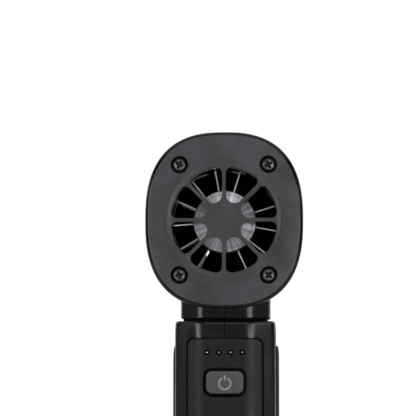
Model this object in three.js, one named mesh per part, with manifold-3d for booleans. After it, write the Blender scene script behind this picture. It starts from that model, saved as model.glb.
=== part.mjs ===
// Hand-held battery blower for drying cars.
// Millimetres, +Z up. The origin is the middle of the handle's base, the air is drawn in at the
// rear (-Y) and blown out at the front (+Y), and the fan's axis lies along Y above the handle.

import * as THREE from 'three';
import { mergeVertices } from 'three/addons/utils/BufferGeometryUtils.js';
import Module from 'manifold-3d';

const wasm = await Module();
wasm.setup();

// ---------------------------------------------------------------- driving dimensions

const GAP = 0.3;                    // clearance between neighbouring pieces
const WALL = 2.2;                   // shell thickness

const AXIS_RISE = 42.5;             // fan axis above the handle's top
const HEAD_WIDTH = 67.2;            // intake end of the head
const HEAD_HEIGHT = 75.3;
const HEAD_ROUNDNESS = 2.56;        // superellipse exponent of the intake end, 2 is an ellipse
const HEAD_REAR = -34;              // face of the intake grille
const HEAD_FRONT = 60;              // open mouth of the shell
const MOUTH_RADIUS = 28;            // outside of the shell's mouth

const HANDLE_WIDTH = 43.4;
const HANDLE_DEPTH = 48;
const HANDLE_TOP = 120.8;
const FLAT_WIDTH = 21.4;            // flat strip down the rear of handle and neck
const SLANT_DEPTH = 7;              // how far the slanted rear faces fall back
const FRONT_CORNER = 12;            // corner radius at the front of the handle
const REAR_BEND = 2.8;              // from the flat rear strip round to the slanted faces
const SIDE_BEND = 2.5;              // from the slanted faces round to the sides
const SHOULDER = 1.4;               // rounded top edge of the handle
const NECK_WIDTH = 38.6;
const NECK_DEPTH = 43;
const GROOVE_HEIGHT = 1.4;          // groove between handle and neck
const GROOVE_DEPTH = 1.1;
const SEAM_LIP = 1.2;               // the left half's lip past the middle, in the right half's rebate
const NECK_INTO_HEAD = 10;          // how far the neck runs up into the head
const BASE_HEIGHT = 5;              // underside of the shell, on top of the base cap

const GRILLE_THICKNESS = 4;
const GRILLE_EDGE = 1.6;            // rounded rear edge of the grille
const SLOT_COUNT = 8;
const SLOT_OUTER = 22.7;
const SLOT_INNER = 8;
const SLOT_CORNER = 2.5;
const SPOKE_WIDTH = 1.6;
const DISH_DEPTH = 1;
const DISH_SLOPE = 2.2;             // width of the slope round the dish
const SCREW_SPACING_X = 37.8;
const SCREW_SPACING_Z = 47;
const SCREW_HEAD = 2.75;            // radii of the grille screws
const SCREW_SHANK = 1.25;
const SCREW_HEAD_HEIGHT = 1.7;
const SCREW_DOME = [[0, 0], [0.55, 0], [0.9, 0.3], [1, 0.7]]; // shares of the head's radius and height
const RECESS = { length: 4.2, width: 1.1, depth: 1.1 };
const COUNTERBORE = 3.68;
const COUNTERBORE_DEPTH = 2.4;
const BOSS = 3.5;
const BOSS_LENGTH = 12;
const BOSS_WEB = 1.3;               // reach of a boss's web, as a share of its distance from the middle

const DUCT_RADIUS = 22.7;           // inside of the air duct
const DUCT_WALL = 1.8;
const DUCT_FRONT = 45.5;
const FLANGE_RADIUS = 26;
const GASKET_THICKNESS = 1.2;
const RING_WIDTH = 4;               // rubber rings round the duct
const RING_THICKNESS = 1.7;
const RING_PLACES = { rear: -20, front: 30 };
const RIB = 2;                      // thickness of the ribs inside the shell

const BLADE_COUNT = 13;
const BLADE_THICKNESS = 1;
const BLADE_INSET = [0.2, 0.5];     // rear and front edges inside the hub's ends
const BLADE_TWIST = 26;             // degrees from leading to trailing edge
const BLADE_START = 18;             // direction of the first leading edge, degrees
const TIP_CLEARANCE = 0.4;
const HUB_RADIUS = 13.6;
const HUB_DEPTH = 11.5;             // hub face behind the grille's face
const HUB_LENGTH = 9.7;
const HUB_WALL = 2;
const HUB_CAP_RADIUS = 13.2;
const HUB_CAP_THICKNESS = 1.5;
const HUB_CAP_EDGE = 0.3;

const POD_RADIUS = 13;
const POD_WALL = 2;
const POD_REAR = -10.5;
const POD_FRONT = 24;
const VANE_COUNT = 9;
const VANE_THICKNESS = 1;
const VANE_TWIST = -24;
const VANE_REAR = 0;
const VANE_FRONT = 16;
const VANE_INSET = 0.5;             // the vanes' ends inside the band's
const BAND_WALL = 0.8;
const SHAFT_RADIUS = 1.5;
const SHAFT_FRONT = 20;
const BEARING_RADIUS = 4;
const BEARING_WIDTH = 3;
const BEARING_SEAT = 1.5;           // wall behind a bearing
const MAGNET_RADIUS = 4.6;
const AIR_GAP = 0.6;
const CORE_REAR = -2;
const CORE_LENGTH = 12;
const CORE_RING = 2.4;
const TOOTH_COUNT = 3;
const TOOTH_WIDTH = 3.4;
const COIL_WALL = 1.3;
const END_CAP_REAR = 14;
const END_CAP_THICKNESS = 4.6;
const TAIL_LENGTH = 19.7;
const TAIL_WALL = 3.1;
const TAIL_LIP = 3;                 // lip of the tail cone inside the pod

const NOZZLE_TIP = 115;
const NOZZLE_TIP_RADIUS = 17;
const NOZZLE_INSERT = 14;           // length pushed into the shell
const NOZZLE_WALL = 2.2;
const COLLAR_LENGTH = 3;            // straight part of the nozzle next to the shell
const LIP_LENGTH = 3;
const LIP_PROUD = 0.8;
const SEAL_WIDTH = 2.4;
const MOUTH_RING_LENGTH = 10;
const MOUTH_RING_WALL = 1.6;

const PANEL_WIDTH = 32.5;
const PANEL_DROP = 7.3;             // panel's top edge below the handle's top
const PANEL_HEIGHT = 73.5;
const PANEL_CORNER = 3.4;
const PANEL_THICKNESS = 1;
const PANEL_LEDGE = 1.6;            // overlap of the panel on the shell
const WINDOW_DEPTH = 10.2;          // from the handle's rear to the end of the opening behind the panel
const BUTTON_DROP = 26.2;           // middle of the button below the handle's top
const BUTTON_SIZE = [16, 9.6];
const BUTTON_CORNER = 2.6;
const BUTTON_MARGIN = 1.35;         // gap between button and panel
const BUTTON_THICKNESS = 3.2;
const BUTTON_EDGE = 0.5;
const STEM_RADIUS = 1.8;
const STEM_LENGTH = 1.6;
const PLUNGER_RADIUS = 1.4;
const PLUNGER_LENGTH = 2.7;
const SWITCH_SIZE = 6;
const SWITCH_THICKNESS = 3;
const SWITCH_FLOOR = 0.8;           // under the switch's bore
const LIGHT_DROP = 13.5;            // row of lights below the handle's top
const LIGHT_PITCH = 5;
const LIGHT_COUNT = 4;
const LIGHT_RADIUS = 0.8;
const LIGHT_BAR = [19, 3, 1.2];

const BOARD_THICKNESS = 1.4;
const BOARD_WIDTH = 30;
const BOARD_HEIGHT = 22;
const BOARD_DROP = 9.8;             // top edges of the boards below the handle's top
const CONTROL_BOARD_INSET = 10.5;   // rear faces of the boards, from the handle's rear
const DRIVER_BOARD_INSET = 32;
const CABLE_WIDTH = 5;              // flat three-core lead up to the motor
const CABLE_THICKNESS = 1.4;
const CABLE_CORNER = 0.6;
const CAPACITOR_RADIUS = 4;
const CAPACITOR_LENGTH = 16;

const CELL_RADIUS = 9.1;
const CELL_LENGTH = 65;
const CELL_EDGE = 0.6;
const CELL_ROWS = 18.8;             // from the rear pair of cells to the front pair
const CELL_SLACK = 0.45;            // between a cell and the shell's side
const HOLDER_THICKNESS = 1.4;
const STRIP_THICKNESS = 0.6;
const STRIP_WIDTH = 8;
const LEAD_RADIUS = 0.7;

const PORT_SIZE = [9, 3.3];
const PORT_LENGTH = 7.3;
const PORT_WALL = 0.4;
const PORT_HOLE_CORNER = 1.6;
const PORT_TONGUE = 6.6;            // width of the tongue in the socket
const CHARGE_BOARD_WIDTH = 14;
const CHARGE_BOARD_REACH = 4;       // past the front of the socket
const CHARGE_BOARD_THICKNESS = 1;

const PAD_THICKNESS = 1.7;          // rubber pad under the base
const PAD_INSET = 3;
const GRIP_PROUD = 1.4;             // how far the side grips stand out
const GRIP_RECESS = 1;
const GRIP_REAR = -9;
const GRIP_FRONT = 13;
const GRIP_DROP = 10.4;             // top of the grips below the handle's top
const GRIP_CORNER = 7;
const GRIP_EDGE = 1;
const JOIN_HEAD = 2.1;              // screws that join the halves
const JOIN_HEAD_HEIGHT = 1.6;
const JOIN_BOSS_WALL = 0.9;
const JOIN_SEAT_DEPTH = 5.5;        // where the heads bear, below the handle's side
const TONGUE = 1.2;                 // base cap's tongue inside the shell

const FINE = 32;                    // sides of the large rounds
const ROUND = 18;
const SMALL = 8;
const CORNER = 4;                   // sides of a rounded corner
const GRIP_SIDES = 4;               // sides of the handle's bends
const BEYOND = 100;                 // cutting solids run this far past the object

// ---------------------------------------------------------------- shaping

const rad = THREE.MathUtils.degToRad;
const AXIS_HEIGHT = HANDLE_TOP + AXIS_RISE;
const HANDLE_REAR = -HANDLE_DEPTH / 2;
const PANEL_TOP = HANDLE_TOP - PANEL_DROP;
const PANEL_BOTTOM = PANEL_TOP - PANEL_HEIGHT;
const BUTTON_HEIGHT = HANDLE_TOP - BUTTON_DROP;
const LIGHT_HEIGHT = HANDLE_TOP - LIGHT_DROP;
const BOARD_TOP = HANDLE_TOP - BOARD_DROP;
const BOARD_BOTTOM = BOARD_TOP - BOARD_HEIGHT;
const CONTROL_BOARD = HANDLE_REAR + CONTROL_BOARD_INSET;
const DRIVER_BOARD = HANDLE_REAR + DRIVER_BOARD_INSET;

// The stack in the handle, from the base up: tongue, lowest screw, cells with their end plates.
const JOIN_BOSS = JOIN_HEAD + GAP + JOIN_BOSS_WALL;
const JOIN_SEAT = HANDLE_WIDTH / 2 - JOIN_SEAT_DEPTH;
const LOWEST_SCREW = BASE_HEIGHT + TONGUE + GAP + JOIN_BOSS;
const CELL_ENDS = 3 * GAP + STRIP_THICKNESS + HOLDER_THICKNESS;
const CELL_BOTTOM = LOWEST_SCREW + JOIN_BOSS + CELL_ENDS;
const CELL_TOP = CELL_BOTTOM + CELL_LENGTH;
const CELL_SIDE = Math.min(HANDLE_WIDTH / 2 - WALL - CELL_SLACK - CELL_RADIUS, CELL_RADIUS + GAP);
const CELL_PLACES = [[1, 1], [1, -1], [-1, -1], [-1, 1]].map(
  ([x, y]) => [x * CELL_SIDE, (y * CELL_ROWS) / 2]);
const PORT_HEIGHT = BASE_HEIGHT + TONGUE + 2 * GAP + CHARGE_BOARD_THICKNESS + PORT_SIZE[1] / 2;
const GRIP_TOP = HANDLE_TOP - GRIP_DROP;
const GRIP_BOTTOM = LOWEST_SCREW - JOIN_HEAD - 2 * GAP;
const JOIN_SCREWS = [
  { y: 6, z: LOWEST_SCREW },
  { y: -3, z: CELL_TOP + CELL_ENDS + JOIN_BOSS },
  { y: -3, z: GRIP_TOP - GRIP_CORNER + JOIN_BOSS },
];

/** A closed solid from a three.js geometry, for joining and cutting. */
function solid(geometry) {
  const plain = geometry.clone();
  plain.deleteAttribute('normal');
  plain.deleteAttribute('uv');
  const merged = mergeVertices(plain, 1e-4);
  const corners = [];
  const index = merged.index.array;
  for (let i = 0; i < index.length; i += 3) {
    const [a, b, c] = [index[i], index[i + 1], index[i + 2]];
    if (a !== b && b !== c && c !== a) corners.push(a, b, c);
  }
  return new wasm.Manifold(new wasm.Mesh({
    numProp: 3,
    vertProperties: new Float32Array(merged.attributes.position.array),
    triVerts: new Uint32Array(corners),
  }));
}

function join(first, ...others) {
  return others.reduce((whole, other) => whole.add(other), first);
}

function cut(first, ...others) {
  return others.reduce((whole, other) => whole.subtract(other), first);
}

/** Turned about the Y axis; the profile is a list of [radius, y], counter-clockwise. */
function turned(profile, sides = ROUND) {
  const points = profile.map(([radius, y]) => new THREE.Vector2(radius, y));
  const onAxis = points[0].x === 0 && points.at(-1).x === 0;
  if (!onAxis) points.push(points[0].clone());
  return solid(new THREE.LatheGeometry(points, sides));
}

/** A plain tube or rod about the Y axis. */
function tube(inner, outer, from, to, sides = ROUND) {
  if (inner === 0) return turned([[0, from], [outer, from], [outer, to], [0, to]], sides);
  return turned([[inner, from], [outer, from], [outer, to], [inner, to]], sides);
}

const AXES = {
  x: new THREE.Matrix4().makeBasis(
    new THREE.Vector3(0, 1, 0), new THREE.Vector3(0, 0, 1), new THREE.Vector3(1, 0, 0)),
  y: new THREE.Matrix4().makeBasis(
    new THREE.Vector3(1, 0, 0), new THREE.Vector3(0, 0, 1), new THREE.Vector3(0, -1, 0)),
  z: new THREE.Matrix4(),
};

/** A shape drawn in the plane across an axis and extruded along it, between two places on it. */
function prism(shape, axis, from, to, sides = CORNER) {
  const geometry = new THREE.ExtrudeGeometry(shape, {
    depth: to - from, bevelEnabled: false, curveSegments: sides / 2,
  });
  geometry.applyMatrix4(AXES[axis]);
  const start = { x: [from, 0, 0], y: [0, to, 0], z: [0, 0, from] }[axis];
  return solid(geometry.translate(...start));
}

function circle(radius, x = 0, y = 0) {
  return new THREE.Shape().absarc(x, y, radius, 0, 2 * Math.PI);
}

function roundedRectangle(width, height, corner, x = 0, y = 0) {
  const [right, top] = [width / 2 - corner, height / 2 - corner];
  const shape = new THREE.Shape();
  shape.absarc(x + right, y + top, corner, 0, rad(90));
  shape.absarc(x - right, y + top, corner, rad(90), rad(180));
  shape.absarc(x - right, y - top, corner, rad(180), rad(270));
  shape.absarc(x + right, y - top, corner, rad(270), rad(360));
  return shape;
}

/** A rod along an axis, centred at two coordinates across it. */
function rod(radius, axis, from, to, x, y, sides = SMALL) {
  return prism(circle(radius, x, y), axis, from, to, sides);
}

/** A box given by its lowest and highest corners. */
function box(low, high) {
  const size = high.map((value, i) => value - low[i]);
  const middle = high.map((value, i) => (value + low[i]) / 2);
  return solid(new THREE.BoxGeometry(...size).translate(...middle));
}

// ---------------------------------------------------------------- outlines

/** One point of a superellipse, as [x, z]. */
function superellipse(angle, halfWidth, halfHeight, exponent) {
  const power = 2 / exponent;
  const [c, s] = [Math.cos(angle), Math.sin(angle)];
  return [
    halfWidth * Math.sign(c) * Math.abs(c) ** power,
    halfHeight * Math.sign(s) * Math.abs(s) ** power,
  ];
}

function headOutline(inset = 0) {
  const points = [];
  for (let i = 0; i < FINE; i++) {
    const angle = (2 * Math.PI * i) / FINE;
    const [x, z] = superellipse(angle, HEAD_WIDTH / 2 - inset, HEAD_HEIGHT / 2 - inset, HEAD_ROUNDNESS);
    points.push(new THREE.Vector2(x, z));
  }
  return new THREE.Shape(points);
}

/** The head between two places on its axis: rounded rectangle behind, circle in front. */
function headSolid(inset, from, to) {
  const stations = 3;
  const geometry = new THREE.CylinderGeometry(1, 1, 1, FINE, stations);
  const place = geometry.attributes.position;
  for (let i = 0; i < place.count; i++) {
    const y = THREE.MathUtils.lerp(from, to, place.getY(i) + 0.5);
    const blend = THREE.MathUtils.smoothstep(y, HEAD_REAR, HEAD_FRONT);
    const radius = Math.hypot(place.getX(i), place.getZ(i));
    const [x, z] = superellipse(
      Math.atan2(place.getZ(i), place.getX(i)),
      THREE.MathUtils.lerp(HEAD_WIDTH / 2, MOUTH_RADIUS, blend) - inset,
      THREE.MathUtils.lerp(HEAD_HEIGHT / 2, MOUTH_RADIUS, blend) - inset,
      THREE.MathUtils.lerp(HEAD_ROUNDNESS, 2, blend));
    place.setXYZ(i, radius * x, y, radius * z);
  }
  return solid(geometry).translate([0, 0, AXIS_HEIGHT]);
}

/** Section of the handle or neck: flat rear strip, slanted faces, straight sides, round front. */
function gripOutline(width, depth, inset = 0) {
  const slantRun = (width - FLAT_WIDTH) / 2;
  const slant = Math.atan2(SLANT_DEPTH, slantRun);
  const flat = FLAT_WIDTH / 2 - inset * Math.tan(slant / 2);
  const side = width / 2 - inset;
  const rear = -depth / 2 + inset;
  const slantEnd = -depth / 2 + SLANT_DEPTH + inset * Math.tan((rad(90) - slant) / 2);
  const front = depth / 2 - inset;
  const corner = FRONT_CORNER - inset;
  const [bend, soft] = [REAR_BEND, SIDE_BEND];
  const [dx, dy] = [Math.cos(slant), Math.sin(slant)];
  const shape = new THREE.Shape();
  shape.moveTo(-flat + bend, rear);
  shape.lineTo(flat - bend, rear);
  shape.quadraticCurveTo(flat, rear, flat + bend * dx, rear + bend * dy);
  shape.lineTo(side - soft * dx, slantEnd - soft * dy);
  shape.quadraticCurveTo(side, slantEnd, side, slantEnd + soft);
  shape.absarc(side - corner, front - corner, corner, 0, rad(90));
  shape.absarc(-side + corner, front - corner, corner, rad(90), rad(180));
  shape.lineTo(-side, slantEnd + soft);
  shape.quadraticCurveTo(-side, slantEnd, -side + soft * dx, slantEnd - soft * dy);
  shape.lineTo(-flat - bend * dx, rear + bend * dy);
  shape.quadraticCurveTo(-flat, rear, -flat + bend, rear);
  return shape;
}

function handleSolid(inset, from, to) {
  return prism(gripOutline(HANDLE_WIDTH, HANDLE_DEPTH, inset), 'z', from, to, GRIP_SIDES);
}

function neckSolid(inset, from, to) {
  return prism(gripOutline(NECK_WIDTH, NECK_DEPTH, inset), 'z', from, to, GRIP_SIDES);
}

// ---------------------------------------------------------------- assembly

const blower = new THREE.Group();
const head = new THREE.Group();
head.position.z = AXIS_HEIGHT;
blower.add(head);

const FINISHES = {
  shell: { color: 0x2c2c2f, roughness: 0.38, metalness: 0 },
  grille: { color: 0x38383a, roughness: 0.62, metalness: 0 },
  screw: { color: 0x161616, roughness: 0.35, metalness: 0.8 },
  rubber: { color: 0x141414, roughness: 0.85, metalness: 0 },
  foam: { color: 0x1c1c1c, roughness: 0.95, metalness: 0 },
  blade: { color: 0x0a0a0b, roughness: 0.12, metalness: 0.2 },
  bright: { color: 0xd8dade, roughness: 0.15, metalness: 1 },
  steel: { color: 0x9b9da1, roughness: 0.3, metalness: 1 },
  magnet: { color: 0x6f7276, roughness: 0.4, metalness: 1 },
  lamination: { color: 0x56585c, roughness: 0.5, metalness: 0.9 },
  copper: { color: 0xb4622d, roughness: 0.35, metalness: 1 },
  duct: { color: 0x101011, roughness: 0.25, metalness: 0 },
  panel: { color: 0x29292a, roughness: 0.5, metalness: 0 },
  button: { color: 0x464644, roughness: 0.55, metalness: 0 },
  clear: { color: 0xe9ecef, roughness: 0.1, metalness: 0 },
  board: { color: 0x1d5b34, roughness: 0.5, metalness: 0 },
  cell: { color: 0x2f6fb0, roughness: 0.4, metalness: 0 },
  nickel: { color: 0xb9bab6, roughness: 0.3, metalness: 1 },
  lead: { color: 0x8f1d1d, roughness: 0.5, metalness: 0 },
};

/** Adds one named piece to a group. */
function piece(name, shape, finish, group = blower) {
  const mesh = shape.getMesh();
  const geometry = new THREE.BufferGeometry();
  geometry.setAttribute('position', new THREE.BufferAttribute(mesh.vertProperties, 3));
  geometry.setIndex(new THREE.BufferAttribute(mesh.triVerts, 1));
  geometry.computeVertexNormals();
  const part = new THREE.Mesh(geometry, new THREE.MeshStandardMaterial(FINISHES[finish]));
  part.name = name;
  group.add(part);
  return part;
}

// ---------------------------------------------------------------- shell

const SHELL_REAR = HEAD_REAR + GRILLE_THICKNESS + GAP;
const RIB_HOLE = DUCT_RADIUS + DUCT_WALL + 2 * GAP + RING_THICKNESS;
const GRILLE_SCREWS = [[1, 1], [-1, 1], [-1, -1], [1, -1]].map(
  ([x, z]) => [(x * SCREW_SPACING_X) / 2, (z * SCREW_SPACING_Z) / 2]);

/** The handle's outer form, with its rounded shoulder at the top. */
function handleOuter() {
  const geometry = new THREE.ExtrudeGeometry(gripOutline(HANDLE_WIDTH, HANDLE_DEPTH), {
    depth: HANDLE_TOP - SHOULDER,
    curveSegments: GRIP_SIDES / 2,
    bevelThickness: SHOULDER,
    bevelSize: SHOULDER,
    bevelOffset: -SHOULDER,
    bevelSegments: 2,
  });
  const below = box([-BEYOND, -BEYOND, -BEYOND], [BEYOND, BEYOND, BASE_HEIGHT + GAP]);
  return cut(solid(geometry), below);
}

/** Ribs across the head that carry the duct's rubber rings, and the bosses of the grille screws. */
function headRibs() {
  const ribs = Object.values(RING_PLACES).map((y) => {
    const slab = box([-BEYOND, y - RIB / 2, 0], [BEYOND, y + RIB / 2, 2 * BEYOND + AXIS_HEIGHT]);
    return headSolid(WALL / 2, SHELL_REAR, HEAD_FRONT).intersect(slab);
  });
  const bosses = GRILLE_SCREWS.flatMap(([x, z]) => {
    const end = SHELL_REAR + BOSS_LENGTH;
    const web = box(
      [Math.min(x, x * BOSS_WEB), SHELL_REAR, -RIB / 2], [Math.max(x, x * BOSS_WEB), end, RIB / 2]);
    return [
      tube(0, BOSS, SHELL_REAR, end, SMALL).translate([x, 0, AXIS_HEIGHT + z]),
      web.translate([0, 0, AXIS_HEIGHT + z]),
    ];
  });
  const whole = join(...ribs, ...bosses).intersect(headSolid(WALL / 2, SHELL_REAR, HEAD_FRONT));
  const passage = tube(0, RIB_HOLE, SHELL_REAR - 1, HEAD_FRONT, FINE).translate([0, 0, AXIS_HEIGHT]);
  return cut(whole, passage);
}

/** Bosses across the handle for the screws that join the halves, cut to the handle's form. */
function joinBosses() {
  const bosses = JOIN_SCREWS.map(({ y, z }) =>
    rod(JOIN_BOSS, 'x', -HANDLE_WIDTH / 2, HANDLE_WIDTH / 2, y, z));
  return join(...bosses).intersect(handleSolid(WALL / 2, BASE_HEIGHT, HANDLE_TOP - WALL));
}

/** Ribs on the side walls that hold the two circuit boards by their edges. */
function boardRibs() {
  const ribs = [];
  for (const board of [CONTROL_BOARD, DRIVER_BOARD]) {
    for (const y of [board - GAP - RIB / 2, board + BOARD_THICKNESS + GAP]) {
      for (const side of [-1, 1]) {
        const inner = BOARD_WIDTH / 2 - 1;
        const [low, high] = [inner, HANDLE_WIDTH / 2].map((x) => side * x).sort((a, b) => a - b);
        ribs.push(box([low, y, BOARD_BOTTOM], [high, y + RIB / 2, BOARD_TOP]));
      }
    }
  }
  return join(...ribs).intersect(handleSolid(WALL / 2, BASE_HEIGHT, HANDLE_TOP - WALL));
}

/** Low ribs on the side walls that steady the cells. */
function cellRibs() {
  const face = CELL_SIDE + CELL_RADIUS + GAP;
  const ribs = CELL_PLACES.map(([x, y]) => {
    const [low, high] = [face, HANDLE_WIDTH / 2]
      .map((reach) => Math.sign(x) * reach)
      .sort((a, b) => a - b);
    return box([low, y - RIB / 2, CELL_BOTTOM + RIB], [high, y + RIB / 2, CELL_TOP - RIB]);
  });
  return join(...ribs).intersect(handleSolid(WALL / 2, BASE_HEIGHT, HANDLE_TOP - WALL));
}

function panelOutline(inset) {
  const height = PANEL_TOP - PANEL_BOTTOM;
  return roundedRectangle(
    PANEL_WIDTH - 2 * inset, height - 2 * inset, PANEL_CORNER - inset / 2, 0,
    (PANEL_TOP + PANEL_BOTTOM) / 2);
}

/** Everything that is cut out of the shell from outside. */
function shellCuts() {
  const panelSeat = prism(panelOutline(-GAP), 'y', -BEYOND, 0)
    .subtract(handleSolid(PANEL_THICKNESS + GAP, 0, HANDLE_TOP));
  const panelWindow = prism(panelOutline(PANEL_LEDGE), 'y', -BEYOND, HANDLE_REAR + WINDOW_DEPTH);
  const port = prism(
    roundedRectangle(PORT_SIZE[0] + 2 * GAP, PORT_SIZE[1] + 2 * GAP, PORT_HOLE_CORNER, 0, PORT_HEIGHT),
    'y', -BEYOND, HANDLE_REAR + WALL + 1);
  const grips = [-1, 1].map((side) => {
    const face = HANDLE_WIDTH / 2 - GRIP_RECESS;
    const [low, high] = [side * face, side * BEYOND].sort((a, b) => a - b);
    return prism(gripPadOutline(-GAP), 'x', low, high);
  });
  const pilots = GRILLE_SCREWS.map(([x, z]) =>
    tube(0, SCREW_SHANK + GAP, SHELL_REAR - 1, SHELL_REAR + BOSS_LENGTH - 1, SMALL)
      .translate([x, 0, AXIS_HEIGHT + z]));
  const joinHoles = JOIN_SCREWS.flatMap(({ y, z }) => [
    rod(SCREW_SHANK + GAP, 'x', -JOIN_SEAT + 1, JOIN_SEAT + 1, y, z),
    rod(JOIN_HEAD + GAP, 'x', JOIN_SEAT, BEYOND, y, z),
  ]);
  const mouthStep = tube(
    MOUTH_RADIUS - WALL / 2, BEYOND, HEAD_FRONT - MOUTH_RING_LENGTH, HEAD_FRONT + 1, FINE)
    .translate([0, 0, AXIS_HEIGHT]);
  return join(panelSeat, panelWindow, port, ...grips, ...pilots, ...joinHoles, mouthStep);
}

/** The whole shell before it is parted down the middle. */
function shell() {
  const groove = HANDLE_TOP + GROOVE_HEIGHT;
  const intoHead = AXIS_HEIGHT - HEAD_HEIGHT / 2 + NECK_INTO_HEAD;
  const outer = join(
    headSolid(0, SHELL_REAR, HEAD_FRONT),
    neckSolid(0, groove, intoHead),
    neckSolid(GROOVE_DEPTH, HANDLE_TOP - WALL, groove + 1),
    handleOuter());
  const inner = join(
    headSolid(WALL, SHELL_REAR - 1, HEAD_FRONT + 1),
    neckSolid(GROOVE_DEPTH + WALL, HANDLE_TOP - 2 * WALL, intoHead),
    handleSolid(WALL, BASE_HEIGHT, HANDLE_TOP - WALL));
  const ribbed = join(cut(outer, inner), headRibs(), joinBosses(), boardRibs(), cellRibs());
  return cut(ribbed, shellCuts());
}

function housing() {
  const whole = shell();
  const height = AXIS_HEIGHT + HEAD_HEIGHT;
  const right = box([GAP / 2, -BEYOND, 0], [BEYOND, BEYOND, height]);
  const left = box([-BEYOND, -BEYOND, 0], [-GAP / 2, BEYOND, height]);
  const step = (inset, reach) => box([-BEYOND, -BEYOND, 0], [reach, BEYOND, height])
    .intersect(handleSolid(inset, BASE_HEIGHT + SEAM_LIP, HANDLE_TOP - 2 * WALL));
  const lip = step((WALL + GAP) / 2, SEAM_LIP);
  const rebate = step((WALL - GAP) / 2, SEAM_LIP + GAP);
  piece('housing_left', whole.intersect(join(left, lip)), 'shell');
  piece('housing_right', cut(whole.intersect(right), rebate), 'shell');
}

function gripPadOutline(inset = 0) {
  const [width, height] = [GRIP_FRONT - GRIP_REAR, GRIP_TOP - GRIP_BOTTOM];
  return roundedRectangle(
    width - 2 * inset, height - 2 * inset, GRIP_CORNER - inset,
    (GRIP_FRONT + GRIP_REAR) / 2, (GRIP_TOP + GRIP_BOTTOM) / 2);
}

function gripPads() {
  const [bottom, top] = [HANDLE_WIDTH / 2 - GRIP_RECESS + GAP, HANDLE_WIDTH / 2 + GRIP_PROUD];
  for (const [name, side] of [['grip_pad_left', -1], ['grip_pad_right', 1]]) {
    const [low, high] = [side * bottom, side * (top - GRIP_EDGE)].sort((a, b) => a - b);
    const [crownLow, crownHigh] = [side * bottom, side * top].sort((a, b) => a - b);
    const pad = join(
      prism(gripPadOutline(), 'x', low, high),
      prism(gripPadOutline(GRIP_EDGE), 'x', crownLow, crownHigh));
    piece(name, pad, 'rubber');
  }
}

/** Screws along X that join the halves; the heads lie under the right grip. */
function housingScrews() {
  JOIN_SCREWS.forEach(({ y, z }, i) => {
    const screw = turned([
      [0, -JOIN_SEAT + 2],
      [SCREW_SHANK, -JOIN_SEAT + 3],
      [SCREW_SHANK, JOIN_SEAT + GAP],
      [JOIN_HEAD, JOIN_SEAT + GAP],
      [JOIN_HEAD, JOIN_SEAT + GAP + JOIN_HEAD_HEIGHT],
      [0, JOIN_SEAT + GAP + JOIN_HEAD_HEIGHT],
    ], SMALL);
    const part = piece(`housing_screw_${i + 1}`, screw, 'screw');
    part.rotation.z = rad(-90);
    part.position.set(0, y, z);
  });
}

// ---------------------------------------------------------------- intake

/** One slot between two spokes, pointing along +X: round inner end, rounded outer corners. */
function slotOutline() {
  const half = rad(180 / SLOT_COUNT);
  const innerCentre = (SLOT_INNER - SPOKE_WIDTH / 2) / (1 - Math.sin(half));
  const innerRadius = innerCentre - SLOT_INNER;
  const cornerReach = SLOT_OUTER - SLOT_CORNER;
  const corner = half - Math.asin((SPOKE_WIDTH / 2 + SLOT_CORNER) / cornerReach);
  const [x, y] = [cornerReach * Math.cos(corner), cornerReach * Math.sin(corner)];
  const normal = half + rad(90);
  const slot = new THREE.Shape();
  slot.absarc(innerCentre, 0, innerRadius, normal, 2 * Math.PI - normal);
  slot.absarc(x, -y, SLOT_CORNER, -normal, -corner);
  slot.absarc(0, 0, SLOT_OUTER, -corner, corner);
  slot.absarc(x, y, SLOT_CORNER, corner, normal);
  return slot;
}

function rearGrille() {
  const front = HEAD_REAR + GRILLE_THICKNESS;
  const geometry = new THREE.ExtrudeGeometry(headOutline(), {
    depth: GRILLE_THICKNESS,
    bevelThickness: GRILLE_EDGE,
    bevelSize: GRILLE_EDGE,
    bevelOffset: -GRILLE_EDGE,
    bevelSegments: 2,
  });
  geometry.applyMatrix4(AXES.y).translate(0, front + GRILLE_EDGE, 0);
  const ahead = box([-BEYOND, front, -BEYOND], [BEYOND, BEYOND, BEYOND]);
  const dish = turned([
    [0, -BEYOND],
    [SLOT_OUTER + DISH_SLOPE, -BEYOND],
    [SLOT_OUTER + DISH_SLOPE, HEAD_REAR],
    [SLOT_OUTER, HEAD_REAR + DISH_DEPTH],
    [0, HEAD_REAR + DISH_DEPTH],
  ], FINE);
  const slots = [];
  for (let i = 0; i < SLOT_COUNT; i++) {
    const slot = prism(slotOutline(), 'y', HEAD_REAR - 1, front + 1);
    slots.push(slot.rotate([0, -(i + 0.5) * (360 / SLOT_COUNT), 0]));
  }
  const holes = GRILLE_SCREWS.flatMap(([x, z]) => [
    tube(0, COUNTERBORE, -BEYOND, HEAD_REAR + COUNTERBORE_DEPTH, ROUND).translate([x, 0, z]),
    tube(0, SCREW_SHANK + GAP, HEAD_REAR, front + 1, SMALL).translate([x, 0, z]),
  ]);
  piece('rear_grille', cut(solid(geometry), ahead, dish, ...slots, ...holes), 'grille', head);
}

/** Pan-head screw with a cross recess, its head towards -Y. */
function grilleScrews() {
  const seat = HEAD_REAR + COUNTERBORE_DEPTH - GAP;
  const top = seat - SCREW_HEAD_HEIGHT;
  const end = SHELL_REAR + BOSS_LENGTH - 2;
  GRILLE_SCREWS.forEach(([x, z], i) => {
    const body = turned([
      ...SCREW_DOME.map(([radius, drop]) => [SCREW_HEAD * radius, top + SCREW_HEAD_HEIGHT * drop]),
      [SCREW_HEAD, seat],
      [SCREW_SHANK, seat],
      [SCREW_SHANK, end - 1],
      [0, end],
    ], SMALL);
    const [long, wide] = [RECESS.length / 2, RECESS.width / 2];
    const bars = [[long, wide], [wide, long]].map(([a, b]) =>
      box([-a, top - 1, -b], [a, top + RECESS.depth, b]));
    const part = piece(`grille_screw_${i + 1}`, cut(body, ...bars), 'screw', head);
    part.position.set(x, 0, z);
  });
}

// ---------------------------------------------------------------- air path

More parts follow.
